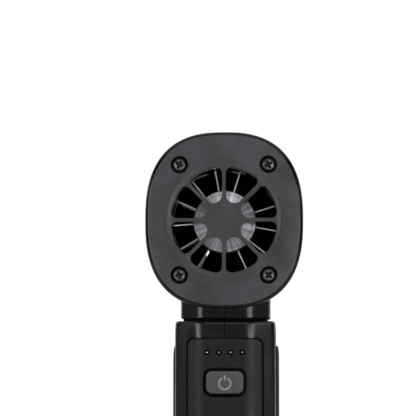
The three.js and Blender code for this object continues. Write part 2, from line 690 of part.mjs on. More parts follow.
const DUCT_OUTER = DUCT_RADIUS + DUCT_WALL;
const DUCT_REAR = HEAD_REAR + GRILLE_THICKNESS + GASKET_THICKNESS + 2 * GAP;

function duct() {
  const gasketRear = HEAD_REAR + GRILLE_THICKNESS + GAP;
  const gasket = tube(DUCT_RADIUS + GAP, FLANGE_RADIUS, gasketRear, gasketRear + GASKET_THICKNESS, FINE);
  piece('inlet_gasket', gasket, 'foam', head);
  piece('fan_duct', turned([
    [DUCT_RADIUS, DUCT_REAR + 1],
    [DUCT_RADIUS + 1, DUCT_REAR],
    [FLANGE_RADIUS, DUCT_REAR],
    [FLANGE_RADIUS, DUCT_REAR + DUCT_WALL],
    [DUCT_OUTER, DUCT_REAR + DUCT_WALL],
    [DUCT_OUTER, DUCT_FRONT],
    [DUCT_RADIUS, DUCT_FRONT],
  ], FINE), 'duct', head);
  for (const [place, y] of Object.entries(RING_PLACES)) {
    const ring = tube(
      DUCT_OUTER + GAP, DUCT_OUTER + GAP + RING_THICKNESS, y - RING_WIDTH / 2, y + RING_WIDTH / 2, FINE);
    piece(`duct_ring_${place}`, ring, 'rubber', head);
  }
}

/** A blade between two radii, twisted about the fan's axis from its rear to its front edge. */
function blade(inner, outer, thickness, rear, front, start, twist) {
  const steps = 2;
  const geometry = new THREE.BoxGeometry(outer - inner, front - rear, thickness, 1, steps, 1);
  geometry.translate((outer + inner) / 2, (front + rear) / 2, 0);
  const place = geometry.attributes.position;
  for (let i = 0; i < place.count; i++) {
    const along = (place.getY(i) - rear) / (front - rear);
    const angle = rad(start + twist * along);
    const [x, z] = [place.getX(i), place.getZ(i)];
    place.setX(i, x * Math.cos(angle) - z * Math.sin(angle));
    place.setZ(i, x * Math.sin(angle) + z * Math.cos(angle));
  }
  return solid(geometry);
}

function bladeRow(count, start, makeBlade) {
  const blades = [];
  for (let i = 0; i < count; i++) blades.push(makeBlade(start + (i * 360) / count));
  return blades;
}

const HUB_FACE = HEAD_REAR + HUB_DEPTH;
const HUB_REAR = HUB_FACE + HUB_CAP_THICKNESS + GAP;

/** Rotor, with everything that turns with it. */
function rotor() {
  const hubFront = HUB_REAR + HUB_LENGTH;
  const hub = turned([
    [SHAFT_RADIUS + GAP, HUB_REAR],
    [HUB_RADIUS, HUB_REAR],
    [HUB_RADIUS, hubFront],
    [HUB_RADIUS - HUB_WALL, hubFront],
    [HUB_RADIUS - HUB_WALL, HUB_REAR + HUB_WALL],
    [BEARING_RADIUS, HUB_REAR + HUB_WALL],
    [BEARING_RADIUS, hubFront - HUB_WALL],
    [SHAFT_RADIUS + GAP, hubFront - HUB_WALL],
  ], FINE);
  const blades = bladeRow(BLADE_COUNT, BLADE_START, (start) => blade(
    HUB_RADIUS - 1, DUCT_RADIUS - TIP_CLEARANCE, BLADE_THICKNESS,
    HUB_REAR + BLADE_INSET[0], hubFront - BLADE_INSET[1], start, -BLADE_TWIST));
  piece('impeller', join(hub, ...blades), 'blade', head);

  piece('hub_cap', turned([
    [0, HUB_FACE],
    [HUB_CAP_RADIUS - HUB_CAP_EDGE, HUB_FACE],
    [HUB_CAP_RADIUS, HUB_FACE + HUB_CAP_EDGE],
    [HUB_CAP_RADIUS, HUB_FACE + HUB_CAP_THICKNESS],
    [0, HUB_FACE + HUB_CAP_THICKNESS],
  ], FINE), 'bright', head);
  piece('motor_shaft', tube(0, SHAFT_RADIUS, HUB_REAR, SHAFT_FRONT, SMALL), 'steel', head);
  piece('rotor_magnet', tube(
    SHAFT_RADIUS + GAP, MAGNET_RADIUS, CORE_REAR, CORE_REAR + CORE_LENGTH), 'magnet', head);
}

// ---------------------------------------------------------------- motor

const POD_INNER = POD_RADIUS - POD_WALL;
const CORE_RADIUS = POD_INNER - GAP;
const SEAT_RADIUS = BEARING_RADIUS + GAP;
const SHAFT_HOLE = SHAFT_RADIUS + 2 * GAP;
const REAR_BEARING = POD_REAR + BEARING_SEAT + GAP;
const FRONT_BEARING = END_CAP_REAR + BEARING_SEAT + GAP;

function bearings() {
  for (const [name, y] of [['bearing_rear', REAR_BEARING], ['bearing_front', FRONT_BEARING]]) {
    piece(name, tube(SHAFT_RADIUS + GAP, BEARING_RADIUS, y, y + BEARING_WIDTH), 'steel', head);
  }
}

/** Motor pod with the vanes that straighten the air and the band that sits in the duct. */
function guideVanes() {
  const seatFront = REAR_BEARING + BEARING_WIDTH;
  const pod = turned([
    [SHAFT_HOLE, POD_REAR],
    [POD_RADIUS, POD_REAR],
    [POD_RADIUS, POD_FRONT],
    [POD_INNER, POD_FRONT],
    [POD_INNER, seatFront],
    [SEAT_RADIUS, seatFront],
    [SEAT_RADIUS, POD_REAR + BEARING_SEAT],
    [SHAFT_HOLE, POD_REAR + BEARING_SEAT],
  ], FINE);
  const bandOuter = DUCT_RADIUS - GAP;
  const band = tube(bandOuter - BAND_WALL, bandOuter, VANE_REAR, VANE_FRONT, FINE);
  const vanes = bladeRow(VANE_COUNT, -90, (start) => blade(
    POD_INNER + 1, bandOuter - BAND_WALL / 2, VANE_THICKNESS,
    VANE_REAR + VANE_INSET, VANE_FRONT - VANE_INSET, start, VANE_TWIST));
  piece('guide_vanes', join(pod, band, ...vanes), 'duct', head);
}

function motorEnd() {
  const front = END_CAP_REAR + END_CAP_THICKNESS;
  piece('motor_end_cap', turned([
    [SHAFT_HOLE, END_CAP_REAR],
    [CORE_RADIUS, END_CAP_REAR],
    [CORE_RADIUS, front],
    [SEAT_RADIUS, front],
    [SEAT_RADIUS, END_CAP_REAR + BEARING_SEAT],
    [SHAFT_HOLE, END_CAP_REAR + BEARING_SEAT],
  ]), 'duct', head);

  const rear = POD_FRONT + GAP;
  const bore = POD_RADIUS - TAIL_WALL;
  const steps = 4;
  const outside = [];
  const inside = [];
  for (let i = 0; i <= steps; i++) {
    const turn = rad((90 * i) / steps);
    outside.push([POD_RADIUS * Math.cos(turn), rear + TAIL_LENGTH * Math.sin(turn)]);
    inside.unshift([bore * Math.cos(turn), rear + (TAIL_LENGTH - POD_WALL) * Math.sin(turn)]);
  }
  outside[steps][0] = 0;
  inside[0][0] = 0;
  piece('tail_cone', turned([
    ...inside,
    [bore, rear - TAIL_LIP],
    [CORE_RADIUS, rear - TAIL_LIP],
    [CORE_RADIUS, rear],
    ...outside,
  ]), 'duct', head);
}

/** Laminated core: a ring with inward teeth, and one coil round each tooth. */
function stator() {
  const bore = MAGNET_RADIUS + AIR_GAP;
  const ringInner = CORE_RADIUS - CORE_RING;
  const front = CORE_REAR + CORE_LENGTH;
  const ring = tube(ringInner, CORE_RADIUS, CORE_REAR, front);
  const teeth = [];
  for (let i = 0; i < TOOTH_COUNT; i++) {
    const tooth = box(
      [bore - 1, CORE_REAR, -TOOTH_WIDTH / 2], [ringInner + 1, front, TOOTH_WIDTH / 2]);
    teeth.push(tooth.rotate([0, (i * 360) / TOOTH_COUNT, 0]));
  }
  const core = cut(join(ring, ...teeth), tube(0, bore, CORE_REAR - 1, front + 1));
  piece('stator_core', core, 'lamination', head);

  const [width, height] = [TOOTH_WIDTH + 2 * GAP, CORE_LENGTH + 2 * GAP];
  const middle = CORE_REAR + CORE_LENGTH / 2;
  const coilInner = bore + GAP;
  const coilOuter = Math.sqrt((ringInner - 2 * GAP) ** 2 - (width / 2 + COIL_WALL) ** 2);
  for (let i = 0; i < TOOTH_COUNT; i++) {
    const outline = roundedRectangle(height + 2 * COIL_WALL, width + 2 * COIL_WALL, COIL_WALL, middle);
    outline.holes.push(roundedRectangle(height, width, GAP, middle));
    const coil = prism(outline, 'x', coilInner, coilOuter, 2);
    const part = piece(`stator_coil_${i + 1}`, coil, 'copper', head);
    part.rotation.y = rad((i * 360) / TOOTH_COUNT);
  }
}

// ---------------------------------------------------------------- outlet

const NOZZLE_REAR = HEAD_FRONT - NOZZLE_INSERT;
const SPIGOT_RADIUS = MOUTH_RADIUS - WALL - 2 * GAP;
const SEAL_PLACE = HEAD_FRONT - NOZZLE_INSERT / 2;

function nozzle() {
  const shoulder = HEAD_FRONT + GAP;
  const grooveFloor = SPIGOT_RADIUS - 1;
  const [grooveRear, grooveFront] = [SEAL_PLACE - SEAL_WIDTH / 2 - GAP, SEAL_PLACE + SEAL_WIDTH / 2 + GAP];
  const bore = NOZZLE_TIP_RADIUS - NOZZLE_WALL;
  const lip = NOZZLE_TIP - LIP_LENGTH;
  piece('nozzle', turned([
    [DUCT_RADIUS, NOZZLE_REAR],
    [SPIGOT_RADIUS, NOZZLE_REAR],
    [SPIGOT_RADIUS, grooveRear],
    [grooveFloor, grooveRear],
    [grooveFloor, grooveFront],
    [SPIGOT_RADIUS, grooveFront],
    [SPIGOT_RADIUS, shoulder],
    [MOUTH_RADIUS, shoulder],
    [MOUTH_RADIUS, shoulder + COLLAR_LENGTH],
    [NOZZLE_TIP_RADIUS, lip],
    [NOZZLE_TIP_RADIUS + LIP_PROUD, lip],
    [NOZZLE_TIP_RADIUS + LIP_PROUD, NOZZLE_TIP],
    [bore, NOZZLE_TIP],
    [DUCT_RADIUS, HEAD_FRONT],
  ], FINE), 'shell', head);
  piece('nozzle_ring', tube(
    grooveFloor + GAP, SPIGOT_RADIUS + GAP, SEAL_PLACE - SEAL_WIDTH / 2, SEAL_PLACE + SEAL_WIDTH / 2,
    FINE), 'rubber', head);

  const ringInner = MOUTH_RADIUS - WALL / 2 + GAP;
  piece('mouth_ring', tube(
    ringInner, ringInner + MOUTH_RING_WALL, HEAD_FRONT - MOUTH_RING_LENGTH + GAP, HEAD_FRONT, FINE),
  'grille', head);
}

// ---------------------------------------------------------------- controls

function lightPlaces() {
  const places = [];
  for (let i = 0; i < LIGHT_COUNT; i++) places.push((i - (LIGHT_COUNT - 1) / 2) * LIGHT_PITCH);
  return places;
}

/** Inlay that follows the handle's rear: a thin face on a ledge, and a thicker back. */
function controlPanel() {
  const face = prism(panelOutline(0), 'y', -BEYOND, 0)
    .intersect(handleSolid(0, 0, HANDLE_TOP))
    .subtract(handleSolid(PANEL_THICKNESS, 0, HANDLE_TOP));
  const back = prism(panelOutline(PANEL_LEDGE + GAP), 'y', -BEYOND, 0)
    .intersect(handleSolid(PANEL_THICKNESS / 2, 0, HANDLE_TOP))
    .subtract(handleSolid(WALL, 0, HANDLE_TOP));
  const [width, height] = BUTTON_SIZE.map((size) => size + 2 * BUTTON_MARGIN);
  const opening = prism(
    roundedRectangle(width, height, BUTTON_CORNER + BUTTON_MARGIN, 0, BUTTON_HEIGHT),
    'y', -BEYOND, 0);
  const lights = lightPlaces().map((x) =>
    rod(LIGHT_RADIUS + GAP, 'y', -BEYOND, 0, x, LIGHT_HEIGHT));
  piece('control_panel', cut(join(face, back), opening, ...lights), 'panel');
}

function powerButton() {
  const face = HANDLE_REAR + GAP;
  const back = face + BUTTON_THICKNESS;
  const button = join(
    prism(roundedRectangle(...BUTTON_SIZE, BUTTON_CORNER, 0, BUTTON_HEIGHT), 'y', face + BUTTON_EDGE, back),
    prism(roundedRectangle(
      BUTTON_SIZE[0] - 2 * BUTTON_EDGE, BUTTON_SIZE[1] - 2 * BUTTON_EDGE,
      BUTTON_CORNER - BUTTON_EDGE, 0, BUTTON_HEIGHT),
    'y', face, back),
    rod(STEM_RADIUS, 'y', back - BUTTON_EDGE, back + STEM_LENGTH, 0, BUTTON_HEIGHT));
  piece('power_button', button, 'button');

  const plungerRear = back + STEM_LENGTH + GAP;
  const plunger = rod(
    PLUNGER_RADIUS, 'y', plungerRear, plungerRear + PLUNGER_LENGTH, 0, BUTTON_HEIGHT);
  piece('switch_plunger', plunger, 'nickel');

  const switchFront = CONTROL_BOARD - GAP;
  const switchRear = switchFront - SWITCH_THICKNESS;
  const half = SWITCH_SIZE / 2;
  const body = box(
    [-half, switchRear, BUTTON_HEIGHT - half], [half, switchFront, BUTTON_HEIGHT + half]);
  const bore = rod(
    PLUNGER_RADIUS + GAP, 'y', switchRear - 1, switchFront - SWITCH_FLOOR, 0, BUTTON_HEIGHT);
  piece('tact_switch', cut(body, bore), 'rubber');
}

/** One clear moulding: four light ends on a bar, with two legs down to the board. */
function lightGuide() {
  const [width, height, thickness] = LIGHT_BAR;
  const rear = HANDLE_REAR + WALL + 2 * GAP;
  const front = rear + thickness;
  const bar = box(
    [-width / 2, rear, LIGHT_HEIGHT - height / 2], [width / 2, front, LIGHT_HEIGHT + height / 2]);
  const ends = lightPlaces().map((x) =>
    rod(LIGHT_RADIUS, 'y', HANDLE_REAR + GAP, rear + thickness / 2, x, LIGHT_HEIGHT));
  const legs = [-1, 1].map((side) => rod(
    LIGHT_RADIUS, 'y', front - thickness / 2, CONTROL_BOARD - GAP,
    side * (width / 2 - LIGHT_RADIUS), LIGHT_HEIGHT));
  piece('light_guide', join(bar, ...ends, ...legs), 'clear');
}

function boards() {
  const half = BOARD_WIDTH / 2;
  for (const [name, board] of [['control_board', CONTROL_BOARD], ['driver_board', DRIVER_BOARD]]) {
    piece(name, box(
      [-half, board, BOARD_BOTTOM], [half, board + BOARD_THICKNESS, BOARD_TOP]), 'board');
  }
  const y = DRIVER_BOARD + BOARD_THICKNESS + GAP + CAPACITOR_RADIUS;
  const bottom = BOARD_BOTTOM + (BOARD_HEIGHT - CAPACITOR_LENGTH) / 2;
  piece('capacitor', rod(
    CAPACITOR_RADIUS, 'z', bottom, bottom + CAPACITOR_LENGTH, CAPACITOR_RADIUS, y, ROUND), 'cell');
}

// ---------------------------------------------------------------- battery

/** A welded strip over one cell, or across two neighbours. */
function cellStrip(name, places, bottom) {
  const xs = places.map(([x]) => x);
  const ys = places.map(([, y]) => y);
  const half = STRIP_WIDTH / 2;
  piece(name, box(
    [Math.min(...xs) - half, Math.min(...ys) - half, bottom],
    [Math.max(...xs) + half, Math.max(...ys) + half, bottom + STRIP_THICKNESS]), 'nickel');
}

function battery() {
  CELL_PLACES.forEach(([x, y], i) => {
    const cell = turned([
      [0, 0],
      [CELL_RADIUS - CELL_EDGE, 0],
      [CELL_RADIUS, CELL_EDGE],
      [CELL_RADIUS, CELL_LENGTH - CELL_EDGE],
      [CELL_RADIUS - CELL_EDGE, CELL_LENGTH],
      [0, CELL_LENGTH],
    ], ROUND);
    const part = piece(`battery_cell_${i + 1}`, cell, 'cell');
    part.rotation.x = rad(90);
    part.position.set(x, y, CELL_BOTTOM);
  });

  const lower = CELL_BOTTOM - GAP - HOLDER_THICKNESS;
  const upper = CELL_TOP + GAP;
  for (const [name, bottom] of [['cell_holder_lower', lower], ['cell_holder_upper', upper]]) {
    const plate = handleSolid(WALL + GAP, bottom, bottom + HOLDER_THICKNESS);
    const holes = CELL_PLACES.map(([x, y]) =>
      rod(STRIP_WIDTH / 2, 'z', bottom - 1, bottom + HOLDER_THICKNESS + 1, x, y));
    piece(name, cut(plate, ...holes), 'panel');
  }

  const below = lower - GAP - STRIP_THICKNESS;
  const above = upper + HOLDER_THICKNESS + GAP;
  const [first, second, third, fourth] = CELL_PLACES;
  cellStrip('cell_strip_1', [first, second], below);
  cellStrip('cell_strip_2', [third, fourth], below);
  cellStrip('cell_strip_3', [second, third], above);
  cellStrip('positive_tab', [first], above);
  cellStrip('negative_tab', [fourth], above);

  [first, fourth].forEach(([x], i) => {
    const y = DRIVER_BOARD + BOARD_THICKNESS / 2;
    const bottom = above + STRIP_THICKNESS + GAP;
    piece(`battery_lead_${i + 1}`, rod(LEAD_RADIUS, 'z', bottom, BOARD_BOTTOM - GAP, x, y), 'lead');
  });
}

function motorCable() {
  const y = DRIVER_BOARD + BOARD_THICKNESS / 2;
  const [bottom, top] = [BOARD_TOP + GAP, AXIS_HEIGHT - DUCT_OUTER - GAP];
  const outline = roundedRectangle(CABLE_WIDTH, CABLE_THICKNESS, CABLE_CORNER, 0, y);
  piece('motor_cable', prism(outline, 'z', bottom, top), 'lead');
}

// ---------------------------------------------------------------- base

function base() {
  const capBottom = PAD_THICKNESS + GAP;
  const cap = join(
    handleSolid(0, capBottom, BASE_HEIGHT),
    handleSolid(WALL + GAP, BASE_HEIGHT - 1, BASE_HEIGHT + TONGUE));
  piece('base_cap', cap, 'shell');
  piece('base_pad', handleSolid(PAD_INSET, 0, PAD_THICKNESS), 'rubber');
}

function chargeSocket() {
  const rear = HANDLE_REAR + GAP;
  const front = rear + PORT_LENGTH;
  const [width, height] = PORT_SIZE;
  const shellOutline = (inset) =>
    roundedRectangle(width - 2 * inset, height - 2 * inset, PORT_HOLE_CORNER - inset, 0, PORT_HEIGHT);
  const can = cut(
    prism(shellOutline(0), 'y', rear, front),
    prism(shellOutline(PORT_WALL), 'y', rear - 1, front - 1));
  const tongue = box(
    [-PORT_TONGUE / 2, rear + 1, PORT_HEIGHT - PORT_WALL],
    [PORT_TONGUE / 2, front - 1 + PORT_WALL, PORT_HEIGHT + PORT_WALL]);
  piece('charge_port', join(can, tongue), 'steel');

  const top = PORT_HEIGHT - height / 2 - GAP;
  const half = CHARGE_BOARD_WIDTH / 2;
  piece('charge_board', box(
    [-half, HANDLE_REAR + WALL + GAP, top - CHARGE_BOARD_THICKNESS],
    [half, front + CHARGE_BOARD_REACH, top]), 'board');
}

// ---------------------------------------------------------------- build

housing();
housingScrews();
gripPads();
rearGrille();
grilleScrews();
duct();
rotor();
bearings();
guideVanes();
motorEnd();
stator();
nozzle();
controlPanel();
powerButton();
lightGuide();
boards();
battery();
motorCable();
base();
chargeSocket();

export default blower;
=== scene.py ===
import math

import bmesh
import bpy
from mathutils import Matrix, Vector


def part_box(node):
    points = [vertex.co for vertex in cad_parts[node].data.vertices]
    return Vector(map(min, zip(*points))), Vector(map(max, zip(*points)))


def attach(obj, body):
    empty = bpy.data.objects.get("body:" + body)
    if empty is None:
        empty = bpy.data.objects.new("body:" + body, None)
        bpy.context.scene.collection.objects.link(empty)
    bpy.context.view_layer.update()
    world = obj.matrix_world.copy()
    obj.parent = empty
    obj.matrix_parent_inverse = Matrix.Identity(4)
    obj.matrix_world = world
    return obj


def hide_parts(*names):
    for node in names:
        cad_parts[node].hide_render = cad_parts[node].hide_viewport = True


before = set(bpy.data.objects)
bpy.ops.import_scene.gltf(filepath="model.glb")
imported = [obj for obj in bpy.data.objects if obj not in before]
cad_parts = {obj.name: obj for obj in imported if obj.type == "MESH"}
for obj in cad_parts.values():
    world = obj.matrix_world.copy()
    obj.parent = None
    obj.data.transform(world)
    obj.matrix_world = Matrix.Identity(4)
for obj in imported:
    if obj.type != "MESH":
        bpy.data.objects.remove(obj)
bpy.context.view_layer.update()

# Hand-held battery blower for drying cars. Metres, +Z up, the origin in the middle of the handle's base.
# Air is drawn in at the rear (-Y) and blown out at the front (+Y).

mm = 0.001
past = 1 * mm  # how far a cutter, or the root of a joined piece, runs past a face

# ---------------------------------------------------------------- camera
# A long lens, low and a little to the right, that looks slightly up at the intake.

eye = Vector((25, -804, 100.3)) * mm
aim = Vector((-6.7, -34, 168.2)) * mm
camera = bpy.data.objects.new("camera", bpy.data.cameras.new("camera"))
camera.location = eye
camera.rotation_euler = (aim - eye).to_track_quat("-Z", "Y").to_euler()
camera.data.lens = 158
bpy.context.scene.collection.objects.link(camera)
bpy.context.scene.camera = camera

# ---------------------------------------------------------------- studio
# A pale painted floor, softboxes over and under the camera, a strip light on each side of it, narrow
# rim lights and dim softboxes at the blower's front, and a dim ceiling. The surroundings are seen
# white but light the object softly.


def linear(colour):
    """A '#rrggbb' sRGB colour as linear RGBA."""
    channels = [int(colour[i:i + 2], 16) / 255 for i in (1, 3, 5)]
    return [c / 12.92 if c <= 0.04045 else ((c + 0.055) / 1.055) ** 2.4 for c in channels] + [1]


def add_node(tree, kind, inputs=(), **settings):
    """Adds a node. An input is a value, or an output to link; a node stands for its first output."""
    added = tree.nodes.new("ShaderNode" + kind)
    for name, value in settings.items():
        setattr(added, name, value)
    for name, value in dict(inputs).items():
        if isinstance(value, bpy.types.Node):
            value = value.outputs[0]
        if isinstance(value, bpy.types.NodeSocket):
            tree.links.new(value, added.inputs[name])
        else:
            added.inputs[name].default_value = value
    return added


def new_material(name):
    """An empty material, its node tree, and the place on the object in metres."""
    made = bpy.data.materials.new(name)
    made.use_nodes = True
    made.node_tree.nodes.clear()
    return made, made.node_tree, add_node(made.node_tree, "TexCoord").outputs["Object"]


def blend(tree, pattern, first, second, part=None, most=1.0):
    """A colour between two that follows a pattern, or a part of its range, up to a greatest share."""
    if part:
        pattern = add_node(tree, "MapRange", {
            "Value": pattern, "From Min": part[0], "From Max": part[1], "To Min": 0.0, "To Max": most})
    first, second = [linear(end) if isinstance(end, str) else end for end in (first, second)]
    return add_node(tree, "MixRGB", {"Fac": pattern, "Color1": first, "Color2": second})


def finish_material(tree, colour, roughness, relief=None, surface=()):
    """Ends a material. Roughness is a number, or a pattern, its least and greatest roughness and, if
    need be, the part of its range; relief is a pattern, its strength and its depth."""
    inputs = {"Base Color": colour, "Roughness": roughness, **dict(surface)}
    if isinstance(roughness, tuple):
        pattern, smoothest, roughest, start, end = (*roughness, 0, 1)[:5]
        inputs["Roughness"] = add_node(tree, "MapRange", {
            "Value": pattern, "From Min": start, "From Max": end, "To Min": smoothest, "To Max": roughest})
    if relief:
        height, strength, depth = relief
        inputs["Normal"] = add_node(tree, "Bump", {
            "Height": height, "Strength": strength, "Distance": depth})
    shader = add_node(tree, "BsdfPrincipled", inputs)
    add_node(tree, "OutputMaterial", {"Surface": shader})


floor_paint, tree, place = new_material("matt_floor_paint")
mottle = add_node(tree, "TexNoise", {"Vector": place, "Scale": 3, "Detail": 4})
finish_material(tree, blend(tree, mottle, "#e9e9e8", "#efefef"), 0.7)

floor_mesh = bpy.data.meshes.new("floor")
shape = bmesh.new()
bmesh.ops.create_circle(shape, cap_ends=True, radius=2.4, segments=96)
shape.to_mesh(floor_mesh)
floor_mesh.materials.append(floor_paint)
floor = bpy.data.objects.new("floor", floor_mesh)
bpy.context.scene.collection.objects.link(floor)

world = bpy.data.worlds.new("studio")
world.use_nodes = True
tree = world.node_tree
tree.nodes.clear()
seen = add_node(tree, "Background", {"Color": linear("#ffffff"), "Strength": 1.0})
lighting = add_node(tree, "Background", {"Color": linear("#ffffff"), "Strength": 0.09})
rays = add_node(tree, "LightPath")
surroundings = add_node(tree, "MixShader", {"Fac": rays.outputs["Is Camera Ray"]})
tree.links.new(lighting.outputs[0], surroundings.inputs[1])
tree.links.new(seen.outputs[0], surroundings.inputs[2])
add_node(tree, "OutputWorld", {"Surface": surroundings.outputs[0]})
bpy.context.scene.world = world
bpy.context.scene.view_settings.view_transform = "Standard"

grille_low, grille_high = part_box("rear_grille")
axis_height = (grille_low.z + grille_high.z) / 2
axis = Vector((0, 0, axis_height))

studio_lights = {
    # name: place, aimed at, width, height, radiance
    "softbox_above": ((0.10, -1.00, 0.66), (0, 0, 0.16), 0.56, 0.46, 1.8),
    "softbox_low": ((0.34, -0.42, 0.06), (0.02, 0, 0.14), 0.34, 0.10, 4.5),
    "strip_left": ((-0.60, -0.62, 0.16), (0, 0, 0.13), 0.20, 0.80, 4.9),
    "strip_right": ((0.66, -0.60, 0.16), (0, 0, 0.13), 0.12, 0.80, 5.4),
    "rim_left": ((-0.62, 0.72, 0.16), (0, 0, 0.13), 0.12, 0.80, 2.5),
    "rim_right": ((0.62, 0.72, 0.16), (0, 0, 0.13), 0.12, 0.80, 2.5),
    "softbox_front": ((0.45, 0.95, 0.75), (0, 0, 0.12), 0.80, 0.60, 0.9),
    "softbox_back_left": ((-0.95, 0.55, 0.60), (0, 0, 0.12), 0.60, 0.60, 0.8),
    "ceiling": ((0, 0.1, 1.80), (0, 0.1, 0), 3.60, 3.60, 0.7),
}
for name, (where, towards, width, height, radiance) in studio_lights.items():
    light = bpy.data.lights.new(name, "AREA")
    light.shape = "RECTANGLE"
    light.size, light.size_y = width, height
    light.energy = radiance * math.pi * width * height
    lamp = bpy.data.objects.new(name, light)
    lamp.location = where
    lamp.rotation_euler = (Vector(towards) - Vector(where)).to_track_quat("-Z", "Z").to_euler()
    bpy.context.scene.collection.objects.link(lamp)

# ---------------------------------------------------------------- rear grille
# The intake plate: ABS, injection moulded in a spark-eroded tool, so its face is matt and finely
# pitted while its rim is plain and glossy, and painted near black as painted shade. Eight slots lie
# in a shallow dish round a solid hub.

grille_edge = 2.4 * mm
grille_roundness = 2.56
crown = 0.9 * mm
crown_width = 12 * mm
slot_count = 8
slot_outer = 22.7 * mm
slot_inner = 8 * mm
slot_corner = 2.5 * mm
slot_lip = 0.35 * mm
spoke_width = 1.6 * mm
dish_depth = 1 * mm
dish_slope = 3 * mm
slope_overlap = 0.8 * mm
hub_dome = 0.35 * mm
screw_spacing = (37.8 * mm, 47 * mm)
counterbore = 3.68 * mm
counterbore_depth = 2.4 * mm
counterbore_lip = 0.25 * mm
pilot = 1.55 * mm
round_steps = 6
rear_face = grille_low.y
grille_front = grille_high.y


def solid(name, points, faces):
    """A mesh object with doubled points joined and its faces turned outwards."""
    mesh = bpy.data.meshes.new(name)
    mesh.from_pydata([tuple(p) for p in points], [], faces)
    shape = bmesh.new()
    shape.from_mesh(mesh)
    bmesh.ops.remove_doubles(shape, verts=shape.verts, dist=0.002 * mm)
    bmesh.ops.recalc_face_normals(shape, faces=shape.faces)
    shape.to_mesh(mesh)
    made = bpy.data.objects.new(name, mesh)
    bpy.context.scene.collection.objects.link(made)
    return made


def loft(name, rings, closed=False):
    """A solid through rings with the same number of points, capped unless it closes on itself."""
    count = len(rings[0])
    faces = [] if closed else [range(count), range((len(rings) - 1) * count, len(rings) * count)]
    for i in range(len(rings) if closed else len(rings) - 1):
        for j in range(count):
            k = (j + 1) % count
            a, b = i * count, (i + 1) % len(rings) * count
            faces.append((a + j, a + k, b + k, b + j))
    return solid(name, [p for ring in rings for p in ring], faces)


def arc(x, y, radius, start, end, steps=round_steps):
    """Points along an arc, with its angles in degrees."""
    angles = [math.radians(start + (end - start) * i / steps) for i in range(steps + 1)]
    return [(x + radius * math.cos(a), y + radius * math.sin(a)) for a in angles]


def turned(name, profile, centre=axis, sides=96):
    """A solid turned about the fan's axis, or one beside it; the profile is a loop of (radius, y)."""
    rings = []
    for i in range(sides):
        turn = 2 * math.pi * i / sides
        rings.append([centre + Vector((r * math.cos(turn), y, r * math.sin(turn))) for r, y in profile])
    return loft(name, rings, closed=True)


def at_y(outline, y, centre=axis, turn=0):
    """An outline of (x, z) as a ring across the Y axis, turned about its centre."""
    c, s = math.cos(turn), math.sin(turn)
    return [centre + Vector((x * c - z * s, y, x * s + z * c)) for x, z in outline]


def superellipse(half_width, half_height, exponent, count=128):
    """Points round a superellipse; the exponent 2 is an ellipse, and more is squarer."""
    points = []
    for i in range(count):
        c, s = math.cos(2 * math.pi * i / count), math.sin(2 * math.pi * i / count)
        points.append((half_width * math.copysign(abs(c) ** (2 / exponent), c),
                       half_height * math.copysign(abs(s) ** (2 / exponent), s)))
    return points


def combine(first, operation, *others):
    """Joins, cuts or intersects a solid with others, which are used up."""
    for other in others:
        modifier = first.modifiers.new("combine", "BOOLEAN")
        modifier.operation = operation
        modifier.solver = "MANIFOLD"
        modifier.object = other
        result = bpy.data.meshes.new_from_object(
            first.evaluated_get(bpy.context.evaluated_depsgraph_get()))
        first.modifiers.clear()
        first.data = result
        bpy.data.objects.remove(other)
    return first


def install(piece, materials, body, slot, *nodes, sharp=32):
    """Finishes a piece: materials, smooth faces with crisp corners, its body and CAD nodes. The slot is
    not used.
    """
    piece.data.materials.clear()
    for material in materials:
        piece.data.materials.append(material)
    for face in piece.data.polygons:
        face.material_index = 0
    piece.data.shade_smooth()
    piece.data.set_sharp_from_angle(angle=math.radians(sharp))
    flats = piece.modifiers.new("flat_faces_stay_flat", "WEIGHTED_NORMAL")
    flats.keep_sharp = True
    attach(piece, body)
    if nodes:
        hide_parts(*nodes)
    return piece


def edge_rounding(radius, steps=round_steps):
    """Pairs of inset and depth that round an edge, from the side to the face."""
    return [(radius - x, radius - y) for x, y in arc(0, 0, radius, 0, 90, steps)]


half_width, half_height = grille_high.x, (grille_high.z - grille_low.z) / 2
crown_tilt = math.degrees(math.atan(2 * crown / crown_width))
profile = [(0, grille_front)]
profile += [(grille_edge - x, rear_face + crown + grille_edge - y)
            for x, y in arc(0, 0, grille_edge, 0, 90 - crown_tilt)]
for i in range(1, 13):
    share = i / 12
    profile.append((grille_edge + crown_width * share, rear_face + crown * (1 - share) ** 2))
plate = loft("intake_plate", [
    at_y(superellipse(half_width - inset, half_height - inset, grille_roundness), y)
    for inset, y in profile])

dish_rim = slot_outer + dish_slope - slope_overlap
dish = [(0, rear_face - 5 * past), (dish_rim, rear_face - 5 * past)]
for i in range(11):
    share = i / 10
    dish.append((dish_rim - dish_slope * share,
                 rear_face + dish_depth * share * share * (3 - 2 * share)))
for i in range(5):
    share = i / 4
    dish.append((slot_inner * (1 - share), rear_face + dish_depth - hub_dome * (1 - (1 - share) ** 2)))
combine(plate, "DIFFERENCE", turned("dish", dish, sides=128))


def slot_outline(grow):
    """One slot, pointing along +X: round inner end, rounded outer corners, offset by grow."""
    half = math.pi / slot_count
    inner_centre = (slot_inner - spoke_width / 2) / (1 - math.sin(half))
    reach = slot_outer - slot_corner
    corner = half - math.asin((spoke_width / 2 + slot_corner) / reach)
    x, y = reach * math.cos(corner), reach * math.sin(corner)
    normal, corner = math.degrees(half) + 90, math.degrees(corner)
    return (arc(inner_centre, 0, inner_centre - slot_inner + grow, normal, 360 - normal, 16)
            + arc(x, -y, slot_corner + grow, -normal, -corner)
            + arc(0, 0, slot_outer + grow, -corner, corner, 12)
            + arc(x, y, slot_corner + grow, corner, normal))


